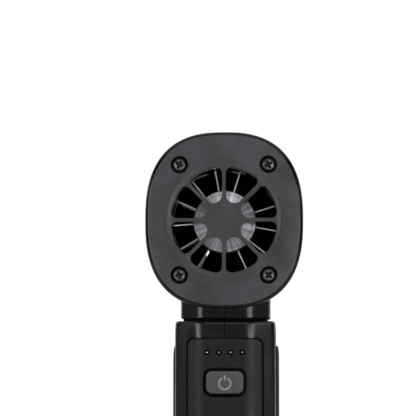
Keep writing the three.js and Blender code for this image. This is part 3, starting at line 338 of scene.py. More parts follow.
slot_profile = [(0, grille_front + past), (0, rear_face + dish_depth + slot_lip)]
slot_profile += [(depth, rear_face + dish_depth + inset)
                 for inset, depth in reversed(edge_rounding(slot_lip, 4))]
slot_profile.append((slot_lip, rear_face - 2 * past))
for i in range(slot_count):
    turn = 2 * math.pi * (i + 0.5) / slot_count
    cutter = loft("slot", [at_y(slot_outline(grow), y, turn=turn) for grow, y in slot_profile])
    combine(plate, "DIFFERENCE", cutter)

screw_places = [axis + Vector((x * screw_spacing[0], 0, z * screw_spacing[1])) / 2
                for x, z in ((1, 1), (-1, 1), (-1, -1), (1, -1))]
bore = [(0, grille_front + past), (pilot, grille_front + past)]
bore += [(pilot, rear_face + counterbore_depth), (counterbore, rear_face + counterbore_depth)]
bore += [(counterbore + depth, rear_face + crown / 2 + inset)
         for inset, depth in reversed(edge_rounding(counterbore_lip, 4))]
bore += [(counterbore + counterbore_lip, rear_face - 2 * past), (0, rear_face - 2 * past)]
for where in screw_places:
    combine(plate, "DIFFERENCE", turned("counterbore", bore, where, 48))

# Spark-eroded ABS: pits of about 0.2 mm, drawn at 0.5 mm so that they show, over faint flow marks.
eroded_abs, tree, place = new_material("spark_eroded_abs")
pits = add_node(tree, "TexNoise", {
    "Vector": place, "Scale": 1 / (0.5 * mm), "Detail": 3, "Roughness": 0.6})
flow = add_node(tree, "TexNoise", {
    "Vector": place, "Scale": 1 / (26 * mm), "Detail": 4, "Distortion": 0.8})
cloud = blend(tree, flow, "#202021", "#3a3a41", (0.36, 0.64))
colour = blend(tree, pits, cloud, "#6a6a6c", (0.35, 0.7), 0.22)
finish_material(tree, colour, (flow, 0.38, 0.52, 0.3, 0.7), (pits, 0.5, 0.05 * mm), {"IOR": 1.53})

# The same ABS where the tool was polished: glossy, with a faint orange peel, and painted near black
# as painted shade on the plate's steep rim and inside its counterbores.
shaded_glossy_abs, tree, place = new_material("abs_rim_painted_shade")
peel = add_node(tree, "TexNoise", {"Vector": place, "Scale": 1 / (1.2 * mm), "Detail": 2})
haze = add_node(tree, "TexNoise", {"Vector": place, "Scale": 1 / (9 * mm), "Detail": 4})
finish_material(
    tree, blend(tree, haze, "#030303", "#080809"), (haze, 0.16, 0.26, 0.3, 0.7),
    (peel, 0.25, 0.02 * mm), {"IOR": 1.53, "Specular IOR Level": 0.25})

install(plate, [eroded_abs, shaded_glossy_abs], "housing", "grille_plastic", "rear_grille")
# Faces of the rim steeper than 16 degrees and the insides of the counterbores get the near-black glossy
# ABS: painted shade.
shaded_rim_cosine = math.cos(math.radians(16))
for face in plate.data.polygons:
    if (face.center - axis).xz.length > dish_rim + 2 * mm:
        from_screw = min((face.center - where).xz.length for where in screw_places)
        bore_shade = from_screw < counterbore + 0.1 * mm and face.center.y > rear_face + crown
        face.material_index = int(bore_shade or face.normal.y > -shaded_rim_cosine)

# ---------------------------------------------------------------- grille screws
# Four pan-head self-tappers of steel with a black zinc finish, rubbed paler on the dome of the
# head by the driver. They pass through the plate into the bosses of the shell.

screw_head = 2.75 * mm
screw_shank = 1.25 * mm
screw_head_height = 1.7 * mm
thread_height = 0.22 * mm
thread_pitch = 1.1 * mm
recess_length = 4.4 * mm
recess_width = 1.35 * mm
recess_depth = 1.2 * mm
recess_taper = 0.7
recess_reach = 1.5 * mm
screw_turns = (27, 62, 11, 48)


def pan_screw(name, centre, top, seat, end, turn):
    """A pan-head screw whose head faces -Y, with a tapered cross recess and a coarse thread."""
    head = [(0, top)]
    for i in range(1, 9):
        lean = math.radians(90 * i / 8)
        head.append((screw_head * math.sin(lean) ** 0.8,
                     top + screw_head_height * 0.75 * (1 - math.cos(lean))))
    shank = [(screw_head, seat), (screw_shank, seat)]
    y = seat + thread_pitch
    while y < end - 2.5 * thread_pitch:
        shank += [(screw_shank, y), (screw_shank + thread_height, y + thread_pitch / 2),
                  (screw_shank, y + thread_pitch)]
        y += thread_pitch
    made = turned(name, head + shank + [(screw_shank, end - thread_pitch), (0, end)], centre, 40)
    for quarter in (0, 90):
        rings = []
        for y, scale in ((top - past, 1.0), (top + recess_depth, recess_taper)):
            half_length, half = recess_length / 2 * scale, recess_width / 2 * scale
            outline = arc(half_length - half, 0, half, -90, 90) + arc(half - half_length, 0, half, 90, 270)
            rings.append(at_y(outline, y, centre, math.radians(turn + quarter)))
        combine(made, "DIFFERENCE", loft("recess", rings))
    return made


# Black zinc on steel: a dark metal, worn to a paler grey in short scuffs where the driver turned.
black_zinc, tree, place = new_material("black_zinc_on_steel")
scuffs = add_node(tree, "TexNoise", {
    "Vector": place, "Scale": 1 / (0.7 * mm), "Detail": 5, "Roughness": 0.65})
colour = blend(tree, scuffs, "#424244", "#7d7c7b", (0.38, 0.62))
finish_material(tree, colour, (scuffs, 0.3, 0.5), (scuffs, 0.4, 0.03 * mm), {"Metallic": 1.0})

# Inside the recess the coating is painted near black and matt: painted shade in the recess.
recess_shade_zinc, tree, place = new_material("black_zinc_painted_recess_shade")
dust = add_node(tree, "TexNoise", {"Vector": place, "Scale": 1 / (0.3 * mm), "Detail": 4})
finish_material(tree, blend(tree, dust, "#030303", "#101010"), 0.8)

for i, (where, turn) in enumerate(zip(screw_places, screw_turns)):
    node = f"grille_screw_{i + 1}"
    low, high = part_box(node)
    screw = pan_screw(f"pan_screw_{i + 1}", where, low.y, low.y + screw_head_height, high.y, turn)
    install(screw, [black_zinc, recess_shade_zinc], "housing", "black_screw", node)
    # The recess's walls and floor get the near-black zinc: painted shade.
    for face in screw.data.polygons:
        inside_head = ((face.center - where).xz.length < recess_length / 2
                       and face.center.y < low.y + recess_reach)
        face.material_index = int(inside_head and (
            abs(face.normal.y) < 0.6 or face.center.y > low.y + recess_depth - 0.01 * mm))

# ---------------------------------------------------------------- duct
# The round air duct is moulded in glass-filled nylon; the thin lip that the rotor's air passes first
# is painted pale metal as a painted highlight. A foam ring seals it to the plate, and two rubber rings
# hold it in the shell.

duct_bore = 22.7 * mm
duct_wall = 1.8 * mm
duct_lip = 0.5 * mm
ring_round = 0.5 * mm

low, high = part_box("fan_duct")
flange = high.x
lip_profile = arc(duct_bore + duct_lip, low.y + duct_lip, duct_lip, 180, 270)
duct = turned("air_duct", [
    *lip_profile,
    (flange, low.y),
    (flange, low.y + duct_wall),
    (duct_bore + duct_wall, low.y + duct_wall),
    (duct_bore + duct_wall, high.y),
    (duct_bore, high.y),
])

# Glass-filled nylon: near black and satin, with fibre flecks of about 0.3 mm near the surface.
filled_nylon, tree, place = new_material("glass_filled_nylon")
fibres = add_node(tree, "TexNoise", {
    "Vector": place, "Scale": 1 / (0.6 * mm), "Detail": 2, "Distortion": 2.0})
colour = blend(tree, fibres, "#09090a", "#242426", (0.6, 0.75), 0.35)
finish_material(tree, colour, (fibres, 0.2, 0.36), (fibres, 0.2, 0.02 * mm), {"IOR": 1.53})

# Pale bright metal with fine tool lines: a painted highlight on the duct's lip and on the rotor's
# leading edges and hub chamfer.
painted_highlight_metal, tree, place = new_material("painted_highlight_metal")
tool_lines = add_node(tree, "TexNoise", {
    "Vector": place, "Scale": 1 / (0.4 * mm), "Detail": 4, "Roughness": 0.7})
finish_material(
    tree, blend(tree, tool_lines, "#d3cfc4", "#f4f1ea"), (tool_lines, 0.25, 0.5),
    (tool_lines, 0.3, 0.02 * mm), {"Metallic": 1.0})

install(duct, [filled_nylon, painted_highlight_metal], "housing", "duct_plastic", "fan_duct")
# The duct's rounded lip gets the pale metal: a painted highlight.
for face in duct.data.polygons:
    lip_highlight = (face.center - axis).xz.length < duct_bore + duct_lip and face.center.y < low.y + duct_lip
    face.material_index = int(lip_highlight)

# EPDM foam: cells of about 0.6 mm, cut open, very matt.
cut_foam, tree, place = new_material("epdm_foam")
cells = add_node(tree, "TexVoronoi", {"Vector": place, "Scale": 1 / (0.6 * mm)})
finish_material(tree, blend(tree, cells, "#0d0d0d", "#232323"), 0.95, (cells, 0.9, 0.2 * mm))

low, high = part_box("inlet_gasket")
gasket_bore = duct_bore + 0.3 * mm
gasket = turned("foam_ring", [
    (gasket_bore, low.y), (high.x, low.y), (high.x, high.y), (gasket_bore, high.y)])
install(gasket, [cut_foam], "housing", "foam_gasket", "inlet_gasket")

# Soft thermoplastic rubber: matt black, pebbled at about 0.4 mm, with a slight bloom on its edges.
soft_rubber, tree, place = new_material("pebbled_rubber")
pebbles = add_node(tree, "TexVoronoi", {"Vector": place, "Scale": 1 / (0.45 * mm)})
bloom = add_node(tree, "TexNoise", {"Vector": place, "Scale": 1 / (7 * mm), "Detail": 5})
finish_material(
    tree, blend(tree, bloom, "#0b0b0c", "#1b1b1c"), (bloom, 0.6, 0.8), (pebbles, 0.5, 0.06 * mm),
    {"IOR": 1.5, "Sheen Weight": 0.12, "Sheen Roughness": 0.5})

for node in ("duct_ring_rear", "duct_ring_front"):
    low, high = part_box(node)
    inner = duct_bore + duct_wall + 0.3 * mm
    ring = turned(node.replace("duct_ring", "rubber_ring"), [
        (inner, low.y), *arc(high.x - ring_round, low.y + ring_round, ring_round, -90, 0),
        *arc(high.x - ring_round, high.y - ring_round, ring_round, 0, 90), (inner, high.y)])
    install(ring, [soft_rubber], "housing", "soft_grip", node)

# ---------------------------------------------------------------- rotor
# Thirteen thin blades on a cup-shaped hub, machined from one billet of aluminium and anodised black;
# the leading edges and the hub's chamfer are painted pale as a painted highlight. A turned and
# polished disc closes the hub.

blade_count = 13
blade_thickness = 0.7 * mm
blade_twist = -26
blade_start = 18
hub_wall = 2 * mm
hub_chamfer = 0.35 * mm
hub_core = 4 * mm
blade_inset = 0.2 * mm
blade_shortfall = 0.5 * mm
highlight_depth = 0.3 * mm
shaft_gap = 0.3 * mm
tip_radius = 22.3 * mm
shaft_radius = 1.5 * mm

rotor_low, rotor_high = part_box("impeller")
cap_low, cap_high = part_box("hub_cap")
hub_radius = cap_high.x + 0.4 * mm


def blade(name, inner, outer, thickness, rear, front, start, twist):
    """A twisted blade between two radii, rounded at its rear edge and thinned to its front edge."""
    sections = [(0.0, 0.45), (0.02, 0.8), (0.06, 1.0)]
    sections += [(0.06 + 0.94 * i / 12, 1.0 - 0.5 * (i / 12) ** 2) for i in range(1, 13)]
    rings = []
    for along, thick in sections:
        turn = math.radians(start + twist * along)
        half = thickness / 2 * thick
        outline = [(r, -half) for r in (inner, (inner + outer) / 2, outer)]
        outline += [(r, half) for r in (outer, (inner + outer) / 2, inner)]
        rings.append(at_y(outline, rear + (front - rear) * along, turn=turn))
    return loft(name, rings)


rotor = turned("rotor", [
    (shaft_radius + shaft_gap, rotor_low.y),
    (hub_radius - hub_chamfer, rotor_low.y),
    (hub_radius, rotor_low.y + hub_chamfer),
    (hub_radius, rotor_high.y),
    (hub_radius - hub_wall, rotor_high.y),
    (hub_radius - hub_wall, rotor_low.y + hub_wall),
    (hub_core, rotor_low.y + hub_wall),
    (hub_core, rotor_high.y - hub_wall),
    (shaft_radius + shaft_gap, rotor_high.y - hub_wall),
])
for i in range(blade_count):
    combine(rotor, "UNION", blade(
        "blade", hub_radius - past, tip_radius, blade_thickness, rotor_low.y + blade_inset,
        rotor_high.y - blade_shortfall, blade_start + 360 * i / blade_count, blade_twist))

# Black anodised aluminium: deep black with a tight, slightly bluish shine.
black_anodised, tree, place = new_material("black_anodised_aluminium")
milling = add_node(tree, "TexNoise", {
    "Vector": place, "Scale": 1 / (1.5 * mm), "Detail": 4, "Roughness": 0.6})
finish_material(
    tree, blend(tree, milling, "#15161a", "#2a2d36"), (milling, 0.22, 0.38),
    (milling, 0.15, 0.02 * mm), {"Metallic": 0.8})

install(rotor, [black_anodised, painted_highlight_metal], "fan", "rotor_black", "impeller")
# The blades' leading edges and the hub's chamfer get the pale metal: a painted highlight.
for face in rotor.data.polygons:
    from_centre = (face.center - axis).xz.length
    blade_edge_highlight = face.center.y < rotor_low.y + highlight_depth and from_centre > hub_radius
    chamfer_highlight = face.normal.y < -0.4 and hub_radius - hub_chamfer < from_centre < hub_radius
    face.material_index = int(blade_edge_highlight or chamfer_highlight)

cap_edge = 0.3 * mm
groove_radius = 11.6 * mm
cap_dome = 0.35 * mm
groove_size = 0.15 * mm
dome = [(r, cap_low.y + cap_dome * (r / groove_radius) ** 2)
        for r in ((groove_radius - groove_size) * i / 12 for i in range(13))]
cap = turned("polished_cap", [
    *dome,
    (groove_radius, cap_low.y + cap_dome + groove_size),
    (groove_radius + groove_size, cap_low.y + cap_dome),
    (cap_high.x - cap_edge, cap_low.y + cap_dome),
    *arc(cap_high.x - cap_edge, cap_low.y + cap_dome + cap_edge, cap_edge, -90, 0, 4),
    (cap_high.x, cap_high.y),
    (0, cap_high.y),
], sides=128)

# Diamond-turned aluminium: turning marks of about 0.1 mm, drawn at 0.3 mm, that smear light along
# the radius, with pale tinted fans painted round the axis as painted glints.
turned_aluminium, tree, place = new_material("diamond_turned_aluminium")
from_axis = add_node(tree, "VectorMath", {0: place, 1: axis}, operation="SUBTRACT")
flat = add_node(tree, "VectorMath", {0: from_axis, 1: (1, 0, 1)}, operation="MULTIPLY")
heading = add_node(tree, "VectorMath", {0: flat}, operation="NORMALIZE")
glint_fans = add_node(tree, "TexNoise", {"Vector": heading, "Scale": 9, "Detail": 3, "Roughness": 0.7})
marks = add_node(tree, "TexWave", {
    "Vector": from_axis, "Scale": 1 / (6 * mm), "Distortion": 0.4, "Detail": 2},
    wave_type="RINGS", rings_direction="Y")
glint_tint = add_node(tree, "MixRGB", {
    "Fac": 0.8, "Color1": linear("#eef0f2"), "Color2": glint_fans.outputs["Color"]}, blend_type="SOFT_LIGHT")
# The pale, faintly coloured fans that vary round the axis are painted glints.
colour = blend(tree, glint_fans, "#8d93a3", glint_tint, (0.3, 0.6))
grain = add_node(tree, "Tangent", direction_type="RADIAL", axis="Y")
finish_material(tree, colour, (glint_fans, 0.24, 0.36), (marks.outputs["Fac"], 0.1, 0.01 * mm), {
    "Metallic": 1.0, "Anisotropic": 0.7, "Anisotropic Rotation": 0.25, "Tangent": grain})
install(cap, [turned_aluminium], "fan", "polished_aluminium", "hub_cap")

# ---------------------------------------------------------------- motor
# Behind the rotor: a nylon pod held by nine straightening vanes, with a small brushless motor
# inside it, an end cap that carries the front bearing, and a tail cone that closes the flow.

vane_count = 9
vane_thickness = 1 * mm
vane_twist = -24
vane_rear, vane_front = 0, 16 * mm
band_wall = 0.8 * mm
pod_radius = 13 * mm
pod_wall = 2 * mm
bearing_seat = 1.5 * mm
bearing_radius = 4.3 * mm
pod_round = 0.8 * mm
pod_shaft_gap = 0.6 * mm
cone_step = 2.2 * mm
cone_wall = 3.2 * mm
bearing_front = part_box("bearing_rear")[1].y

low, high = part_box("guide_vanes")
band = high.x
pod = turned("motor_pod", [
    (shaft_radius + pod_shaft_gap, low.y),
    *arc(pod_radius - pod_round, low.y + pod_round, pod_round, -90, 0),
    (pod_radius, high.y),
    (pod_radius - pod_wall, high.y),
    (pod_radius - pod_wall, bearing_front),
    (bearing_radius, bearing_front),
    (bearing_radius, low.y + bearing_seat),
    (shaft_radius + pod_shaft_gap, low.y + bearing_seat),
])
combine(pod, "UNION", turned("band", [
    (band - band_wall, vane_rear), (band, vane_rear), (band, vane_front), (band - band_wall, vane_front)]))
for i in range(vane_count):
    combine(pod, "UNION", blade(
        "vane", pod_radius - past, band - band_wall / 2, vane_thickness, vane_rear + 0.5 * mm,
        vane_front - 0.5 * mm, -90 + 360 * i / vane_count, vane_twist))
install(pod, [filled_nylon], "housing", "duct_plastic", "guide_vanes")

low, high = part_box("tail_cone")
cone_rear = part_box("guide_vanes")[1].y + 0.3 * mm
cone = [(pod_radius - cone_step, low.y), (pod_radius - cone_step, cone_rear)]
cone += [(pod_radius * math.cos(a), cone_rear + (high.y - cone_rear) * math.sin(a))
         for a in (math.radians(90 * i / 16) for i in range(17))]
cone_depth = high.y - pod_wall - cone_rear
cone += [((pod_radius - cone_wall) * math.sin(a), cone_rear + cone_depth * math.cos(a))
         for a in (math.radians(90 * i / 12) for i in range(13))]
cone += [(pod_radius - cone_wall, low.y)]
install(turned("tail_fairing", cone), [filled_nylon], "housing", "duct_plastic", "tail_cone")


def coat(material, *nodes):
    """Gives CAD nodes a material in place of their plain one."""
    for node in nodes:
        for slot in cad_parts[node].material_slots:
            slot.material = material


def fine_grained(name, dark, pale, grain, relief_height, roughest, smoothest, surface):
    """A surface whose colour, gloss and relief all follow one fine grain; the grain is in metres."""
    made, tree, place = new_material(name)
    pattern = add_node(tree, "TexNoise", {
        "Vector": place, "Scale": 1 / grain, "Detail": 4, "Roughness": 0.6})
    finish_material(tree, blend(tree, pattern, dark, pale), (pattern, smoothest, roughest),
                    (pattern, 0.4, relief_height), surface)
    return made


coat(filled_nylon, "motor_end_cap")
# Ground steel: bright, with fine grinding marks.
ground_steel = fine_grained(
    "ground_steel", "#9c9da0", "#c9cacc", 0.4 * mm, 0.02 * mm, 0.4, 0.2, {"Metallic": 1.0})
coat(ground_steel, "motor_shaft", "bearing_rear", "bearing_front")
# Nickel-plated magnet: a greyer metal with a soft, slightly rippled plating.
plated_magnet = fine_grained(
    "nickel_plated_magnet", "#75777a", "#94969a", 1.2 * mm, 0.03 * mm, 0.5, 0.3, {"Metallic": 1.0})
coat(plated_magnet, "rotor_magnet")

# Silicon steel sheets of 0.35 mm, stacked along the shaft: a dark metal with fine edge lines.
stacked_steel, tree, place = new_material("stacked_silicon_steel")
sheets = add_node(tree, "TexWave", {
    "Vector": place, "Scale": 1 / (0.35 * mm) / 20, "Distortion": 0.2}, bands_direction="Y")
lines = sheets.outputs["Fac"]
finish_material(
    tree, blend(tree, lines, "#3b3d40", "#7b7e83"), 0.45, (lines, 0.5, 0.05 * mm), {"Metallic": 1.0})
coat(stacked_steel, "stator_core")

# Enamelled copper wire of 0.5 mm, wound side by side: amber ridges with a varnished gloss.
copper_winding, tree, place = new_material("enamelled_copper_wire")
wires = add_node(tree, "TexWave", {
    "Vector": place, "Scale": 1 / (0.5 * mm) / 20, "Distortion": 0.6}, bands_direction="DIAGONAL")
ridges = wires.outputs["Fac"]
finish_material(
    tree, blend(tree, ridges, "#5a2712", "#b8662f"), 0.35, (ridges, 0.8, 0.2 * mm),
    {"Metallic": 1.0, "Coat Weight": 0.5, "Coat Roughness": 0.1})
coat(copper_winding, "stator_coil_1", "stator_coil_2", "stator_coil_3")

# ---------------------------------------------------------------- housing
# Two moulded halves of black ABS that meet on a seam down the middle. The head runs from the
# rounded-rectangle intake to a round mouth; a groove parts the neck from the wider handle.

gap = 0.3 * mm
wall = 2.2 * mm
skin = 1.2 * mm
flat_width = 21.4 * mm
slant_depth = 7 * mm
front_corner = 12 * mm
rear_bend = 2.8 * mm
side_bend = 2.5 * mm
shoulder = 1.4 * mm
collar_bow = 110 * mm
neck_size = (38.6 * mm, 43 * mm)
groove_height = 1.4 * mm
groove_depth = 1.1 * mm
head_stations = 24
panel_drop = 7.3 * mm
panel_thickness = 1 * mm
panel_ledge = 1.6 * mm
panel_corner = 3.4 * mm
pad_recess = 1 * mm
pad_corner = 7 * mm
port_corner = 1.6 * mm
window_reach = 8 * mm
neck_overlap = 10 * mm

shell_rear = grille_front + gap
base_low, base_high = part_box("base_cap")
handle_size = (base_high.x - base_low.x, base_high.y - base_low.y)
handle_rear = base_low.y
shell_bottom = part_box("housing_left")[0].z
panel_low, panel_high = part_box("control_panel")
handle_top = panel_high.z + panel_drop
mouth_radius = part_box("nozzle")[1].x
mouth_ring_low, mouth_ring_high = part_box("mouth_ring")
head_front = mouth_ring_high.y
neck_top = axis_height - half_height + neck_overlap
far = 100 * mm


def curve(start, control, end, steps=8):
    """Points along a quadratic curve."""
    points = []
    for i in range(steps + 1):
        t = i / steps
        points.append(tuple((1 - t) ** 2 * a + 2 * t * (1 - t) * b + t * t * c
                            for a, b, c in zip(start, control, end)))
    return points


def grip_outline(size, inset=0):
    """Section of the handle or neck: flat rear strip, slanted faces, straight sides, round front."""
    width, depth = size
    slant = math.atan2(slant_depth, (width - flat_width) / 2)
    flat = flat_width / 2 - inset * math.tan(slant / 2)
    side = width / 2 - inset
    rear = -depth / 2 + inset
    slant_end = rear + slant_depth - inset + inset * math.tan((math.pi / 2 - slant) / 2)
    corner = front_corner - inset
    dx, dy = math.cos(slant), math.sin(slant)
    right = curve((flat - rear_bend, rear), (flat, rear), (flat + rear_bend * dx, rear + rear_bend * dy))
    right += curve((side - side_bend * dx, slant_end - side_bend * dy), (side, slant_end),
                   (side, slant_end + side_bend))
    right += arc(side - corner, depth / 2 - inset - corner, corner, 0, 90, 16)
    return right + [(-x, y) for x, y in reversed(right)]


def at_z(outline, z):
    """An outline of (x, y) as a level ring."""
    return [Vector((x, y, z)) for x, y in outline]


def grip_solid(size, inset, bottom, top):
    return loft("grip", [at_z(grip_outline(size, inset), z) for z in (bottom, top)])


def head_ring(inset, y):
    """The head's section at one place on the axis."""
    share = max(0, min(1, (y - rear_face) / (head_front - rear_face)))
    blend = share * share * (3 - 2 * share)
    width = half_width + (mouth_radius - half_width) * blend - inset
    height = half_height + (mouth_radius - half_height) * blend - inset
    return at_y(superellipse(width, height, grille_roundness + (2 - grille_roundness) * blend), y)


def head_solid(inset, rear, front):
    return loft("head", [head_ring(inset, rear + (front - rear) * i / head_stations)
                         for i in range(head_stations + 1)])


def handle_form():
    """The handle's outside, with its rounded shoulder."""
    rings = [at_z(grip_outline(handle_size), shell_bottom)]
    collar_height = panel_drop - shoulder
    for i in range(7):
        rise = collar_height * i / 6
        rings.append(at_z(grip_outline(handle_size, rise * rise / 2 / collar_bow), panel_high.z + rise))
    bow = collar_height ** 2 / 2 / collar_bow
    rings += [at_z(grip_outline(handle_size, bow + inset), handle_top - depth)
              for inset, depth in edge_rounding(shoulder, 8)[1:]]
    return loft("handle", rings)


def rounded_rectangle(width, height, corner, x=0, y=0, steps=round_steps):
    """Points round a rectangle with rounded corners, counter-clockwise."""
    right, top = width / 2 - corner, height / 2 - corner
    return (arc(x + right, y + top, corner, 0, 90, steps) + arc(x - right, y + top, corner, 90, 180, steps)
            + arc(x - right, y - top, corner, 180, 270, steps)
            + arc(x + right, y - top, corner, 270, 360, steps))


def upright(outline, *places):
    """A solid through one outline of (x, z) at several places along Y, in the row frame."""
    return loft("upright", [at_y(outline, y, Vector()) for y in places])


def at_x(outline, x):
    """An outline of (y, z) as a ring across the X axis."""
    return [Vector((x, y, z)) for y, z in outline]


def panel_outline(inset, steps=round_steps):
    width, height = panel_high.x - panel_low.x, panel_high.z - panel_low.z
    return rounded_rectangle(width - 2 * inset, height - 2 * inset, panel_corner - inset / 2, 0,
                             (panel_low.z + panel_high.z) / 2, steps)


pad_low, pad_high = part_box("grip_pad_right")


def pad_outline(inset):
    return rounded_rectangle(
        pad_high.y - pad_low.y - 2 * inset, pad_high.z - pad_low.z - 2 * inset, pad_corner - inset,
        (pad_low.y + pad_high.y) / 2, (pad_low.z + pad_high.z) / 2, 10)


groove_top = handle_top + groove_height
outside = combine(
    head_solid(0, shell_rear, head_front), "UNION",
    grip_solid(neck_size, 0, groove_top, neck_top),
    grip_solid(neck_size, groove_depth, handle_top - wall, groove_top + past),
    handle_form())
inside = combine(
    head_solid(skin, shell_rear - past, head_front + past), "UNION",
    grip_solid(neck_size, groove_depth + skin, handle_top - 2 * wall, neck_top),
    grip_solid(handle_size, skin, shell_bottom - past, handle_top - skin))
combine(outside, "DIFFERENCE", inside)

core = combine(
    head_solid(wall / 2, shell_rear, head_front), "UNION",
    grip_solid(neck_size, groove_depth + wall / 2, handle_top - wall, neck_top),
    grip_solid(handle_size, wall / 2, shell_bottom, handle_top - wall / 2))

port_low, port_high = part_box("charge_port")
port_height = (port_low.z + port_high.z) / 2


def shell_cutters():
    """What the shell is opened for: panel, port, pads and mouth ring."""
    seat = combine(upright(panel_outline(-gap), -far, 0), "DIFFERENCE",
                   grip_solid(handle_size, panel_thickness + gap, 0, handle_top))
    window = upright(panel_outline(panel_ledge), -far, handle_rear + wall + window_reach)
    port = upright(rounded_rectangle(
        port_high.x - port_low.x + 2 * gap, port_high.z - port_low.z + 2 * gap, port_corner, 0,
        port_height),
        -far, handle_rear + wall + past)
    pads = [loft("pad_recess", [at_x(pad_outline(-gap), side * x)
                                for x in (handle_size[0] / 2 - pad_recess, far)]) for side in (-1, 1)]
    step_radius = mouth_radius - wall / 2
    mouth = turned("mouth_step", [
        (step_radius, mouth_ring_low.y - gap), (far, mouth_ring_low.y - gap),
        (far, head_front + past), (step_radius, head_front + past)])
    return [seat, window, port, *pads, mouth]


def cad_copy(node):
    """A solid with the shape of a CAD node."""
    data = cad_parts[node].data
    return solid(node + "_copy", [v.co for v in data.vertices], [list(f.vertices) for f in data.polygons])


# Black ABS from a lightly textured tool: satin, with a fine orange peel, handling smears of about
# 10 mm, and sparse pale specks of dust that the texture holds.
satin_abs, tree, place = new_material("satin_moulded_abs")
peel = add_node(tree, "TexNoise", {"Vector": place, "Scale": 1 / (0.6 * mm), "Detail": 3})
smears = add_node(tree, "TexNoise", {
    "Vector": place, "Scale": 1 / (11 * mm), "Detail": 5, "Distortion": 1.2})
dust = add_node(tree, "TexVoronoi", {"Vector": place, "Scale": 1 / (3.2 * mm), "Randomness": 1.0})
cloud = blend(tree, smears, "#0e0e10", "#161618")
colour = blend(tree, dust, cloud, "#57575a", (0.07, 0.03), 0.25)
finish_material(
    tree, colour, (smears, 0.2, 0.28, 0.3, 0.7), (peel, 0.35, 0.02 * mm),
    {"IOR": 1.53, "Specular IOR Level": 0.45})

# The neck's groove and the walls of the panel's cut-outs: the same ABS, matt, and painted near black
# as painted shade in the groove and the holes.
groove_shade_black = fine_grained(
    "matt_black_abs", "#020202", "#070707", 0.4 * mm, 0.04 * mm, 0.95, 0.8,
    {"IOR": 1.45, "Specular IOR Level": 0.15})

for side, name in ((-1, "left"), (1, "right")):
    node = f"housing_{name}"
    ends = sorted((side * gap / 2, side * far))
    corners = [(ends[0], -far), (ends[1], -far), (ends[1], far), (ends[0], far)]
    half_space = loft("half_space", [at_z(corners, z) for z in (0, 3 * far)])
    half = combine(solid(f"shell_{name}", [v.co for v in outside.data.vertices],
                         [list(f.vertices) for f in outside.data.polygons]), "INTERSECT", half_space)
    ribs = combine(cad_copy(node), "INTERSECT", solid(
        "core_copy", [v.co for v in core.data.vertices], [list(f.vertices) for f in core.data.polygons]))
    combine(half, "UNION", ribs)
    combine(half, "DIFFERENCE", *shell_cutters())
    install(half, [satin_abs, groove_shade_black], "housing", "shell_plastic", node)
    # The groove's faces get the near-black ABS: painted shade in the groove.
    for face in half.data.polygons:
        x, y, z = face.center
        in_neck = (abs(x) < neck_size[0] / 2 - groove_depth / 2
                   and abs(y) < neck_size[1] / 2 - groove_depth / 2)
        face.material_index = int(in_neck and handle_top - 0.05 * mm < z < groove_top + 0.05 * mm)
bpy.data.objects.remove(outside)
bpy.data.objects.remove(core)

coat(black_zinc, "housing_screw_1", "housing_screw_2", "housing_screw_3")

# ---------------------------------------------------------------- outlet
# A ring pressed over the mouth clamps the two halves. The nozzle pushes in and tapers the air down
# to a lipped tip; a rubber ring in its groove holds and seals it.

nozzle_low, nozzle_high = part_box("nozzle")
spigot = mouth_radius - wall - 2 * gap
seal_low, seal_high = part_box("nozzle_ring")
tip_outside = 17 * mm
tip_bore = 14.8 * mm
lip_length = 3 * mm
lip_proud = 0.8 * mm
collar_length = 3 * mm
nozzle_round = 1 * mm
spigot_chamfer = 0.6 * mm
seal_groove = 1 * mm
collar_round = 0.4 * mm
lip_round = 0.3 * mm

lip = nozzle_high.y - lip_length
collar = head_front + gap
nozzle = turned("nozzle_cone", [
    (duct_bore, nozzle_low.y),
    (spigot - spigot_chamfer, nozzle_low.y),
    (spigot, nozzle_low.y + spigot_chamfer),
    (spigot, seal_low.y - gap),
    (spigot - seal_groove, seal_low.y - gap),
    (spigot - seal_groove, seal_high.y + gap),
    (spigot, seal_high.y + gap),
    (spigot, collar),
    *arc(mouth_radius - collar_round, collar + collar_round, collar_round, -90, 0, 4),
    *arc(mouth_radius - nozzle_round, collar + collar_length - nozzle_round, nozzle_round, 0, 60),
    (tip_outside, lip - 0.4 * mm),
    (tip_outside, lip),
    *arc(tip_outside + lip_proud - lip_round, lip + lip_round, lip_round, -90, 0, 3),
    *arc(tip_outside + lip_proud - nozzle_round, nozzle_high.y - nozzle_round, nozzle_round, 0, 90),
    *arc(tip_bore + nozzle_round, nozzle_high.y - nozzle_round, nozzle_round, 90, 180),
    (duct_bore, head_front),
], sides=128)
install(nozzle, [satin_abs], "outlet", "shell_plastic", "nozzle")

seal_round = (seal_high.y - seal_low.y) / 2
seal = turned("nozzle_seal", [
    (spigot - 0.7 * mm, seal_low.y), (spigot - 0.5 * mm, seal_low.y),
    *arc(seal_high.x - seal_round / 2, seal_low.y + seal_round / 2, seal_round / 2, -90, 0),
    *arc(seal_high.x - seal_round / 2, seal_high.y - seal_round / 2, seal_round / 2, 0, 90),
    (spigot - 0.7 * mm, seal_high.y)])
install(seal, [soft_rubber], "outlet", "soft_grip", "nozzle_ring")

ring_bore = mouth_radius - wall / 2 + gap
ring_edge = 0.5 * mm
mouth_ring = turned("clamp_ring", [
    (ring_bore, mouth_ring_low.y),
    *arc(mouth_ring_high.x - ring_edge, mouth_ring_low.y + ring_edge, ring_edge, -90, 0),
    *arc(mouth_ring_high.x - ring_edge, head_front - ring_edge, ring_edge, 0, 90),
    (ring_bore, head_front)], sides=128)
install(mouth_ring, [satin_abs], "housing", "grille_plastic", "mouth_ring")

# ---------------------------------------------------------------- control panel
# A moulded inlay, 1 mm thick, that follows the handle's flat and slanted rear faces. Its edge is
# bevelled, and it is held on a ledge of the shell by the thicker back.

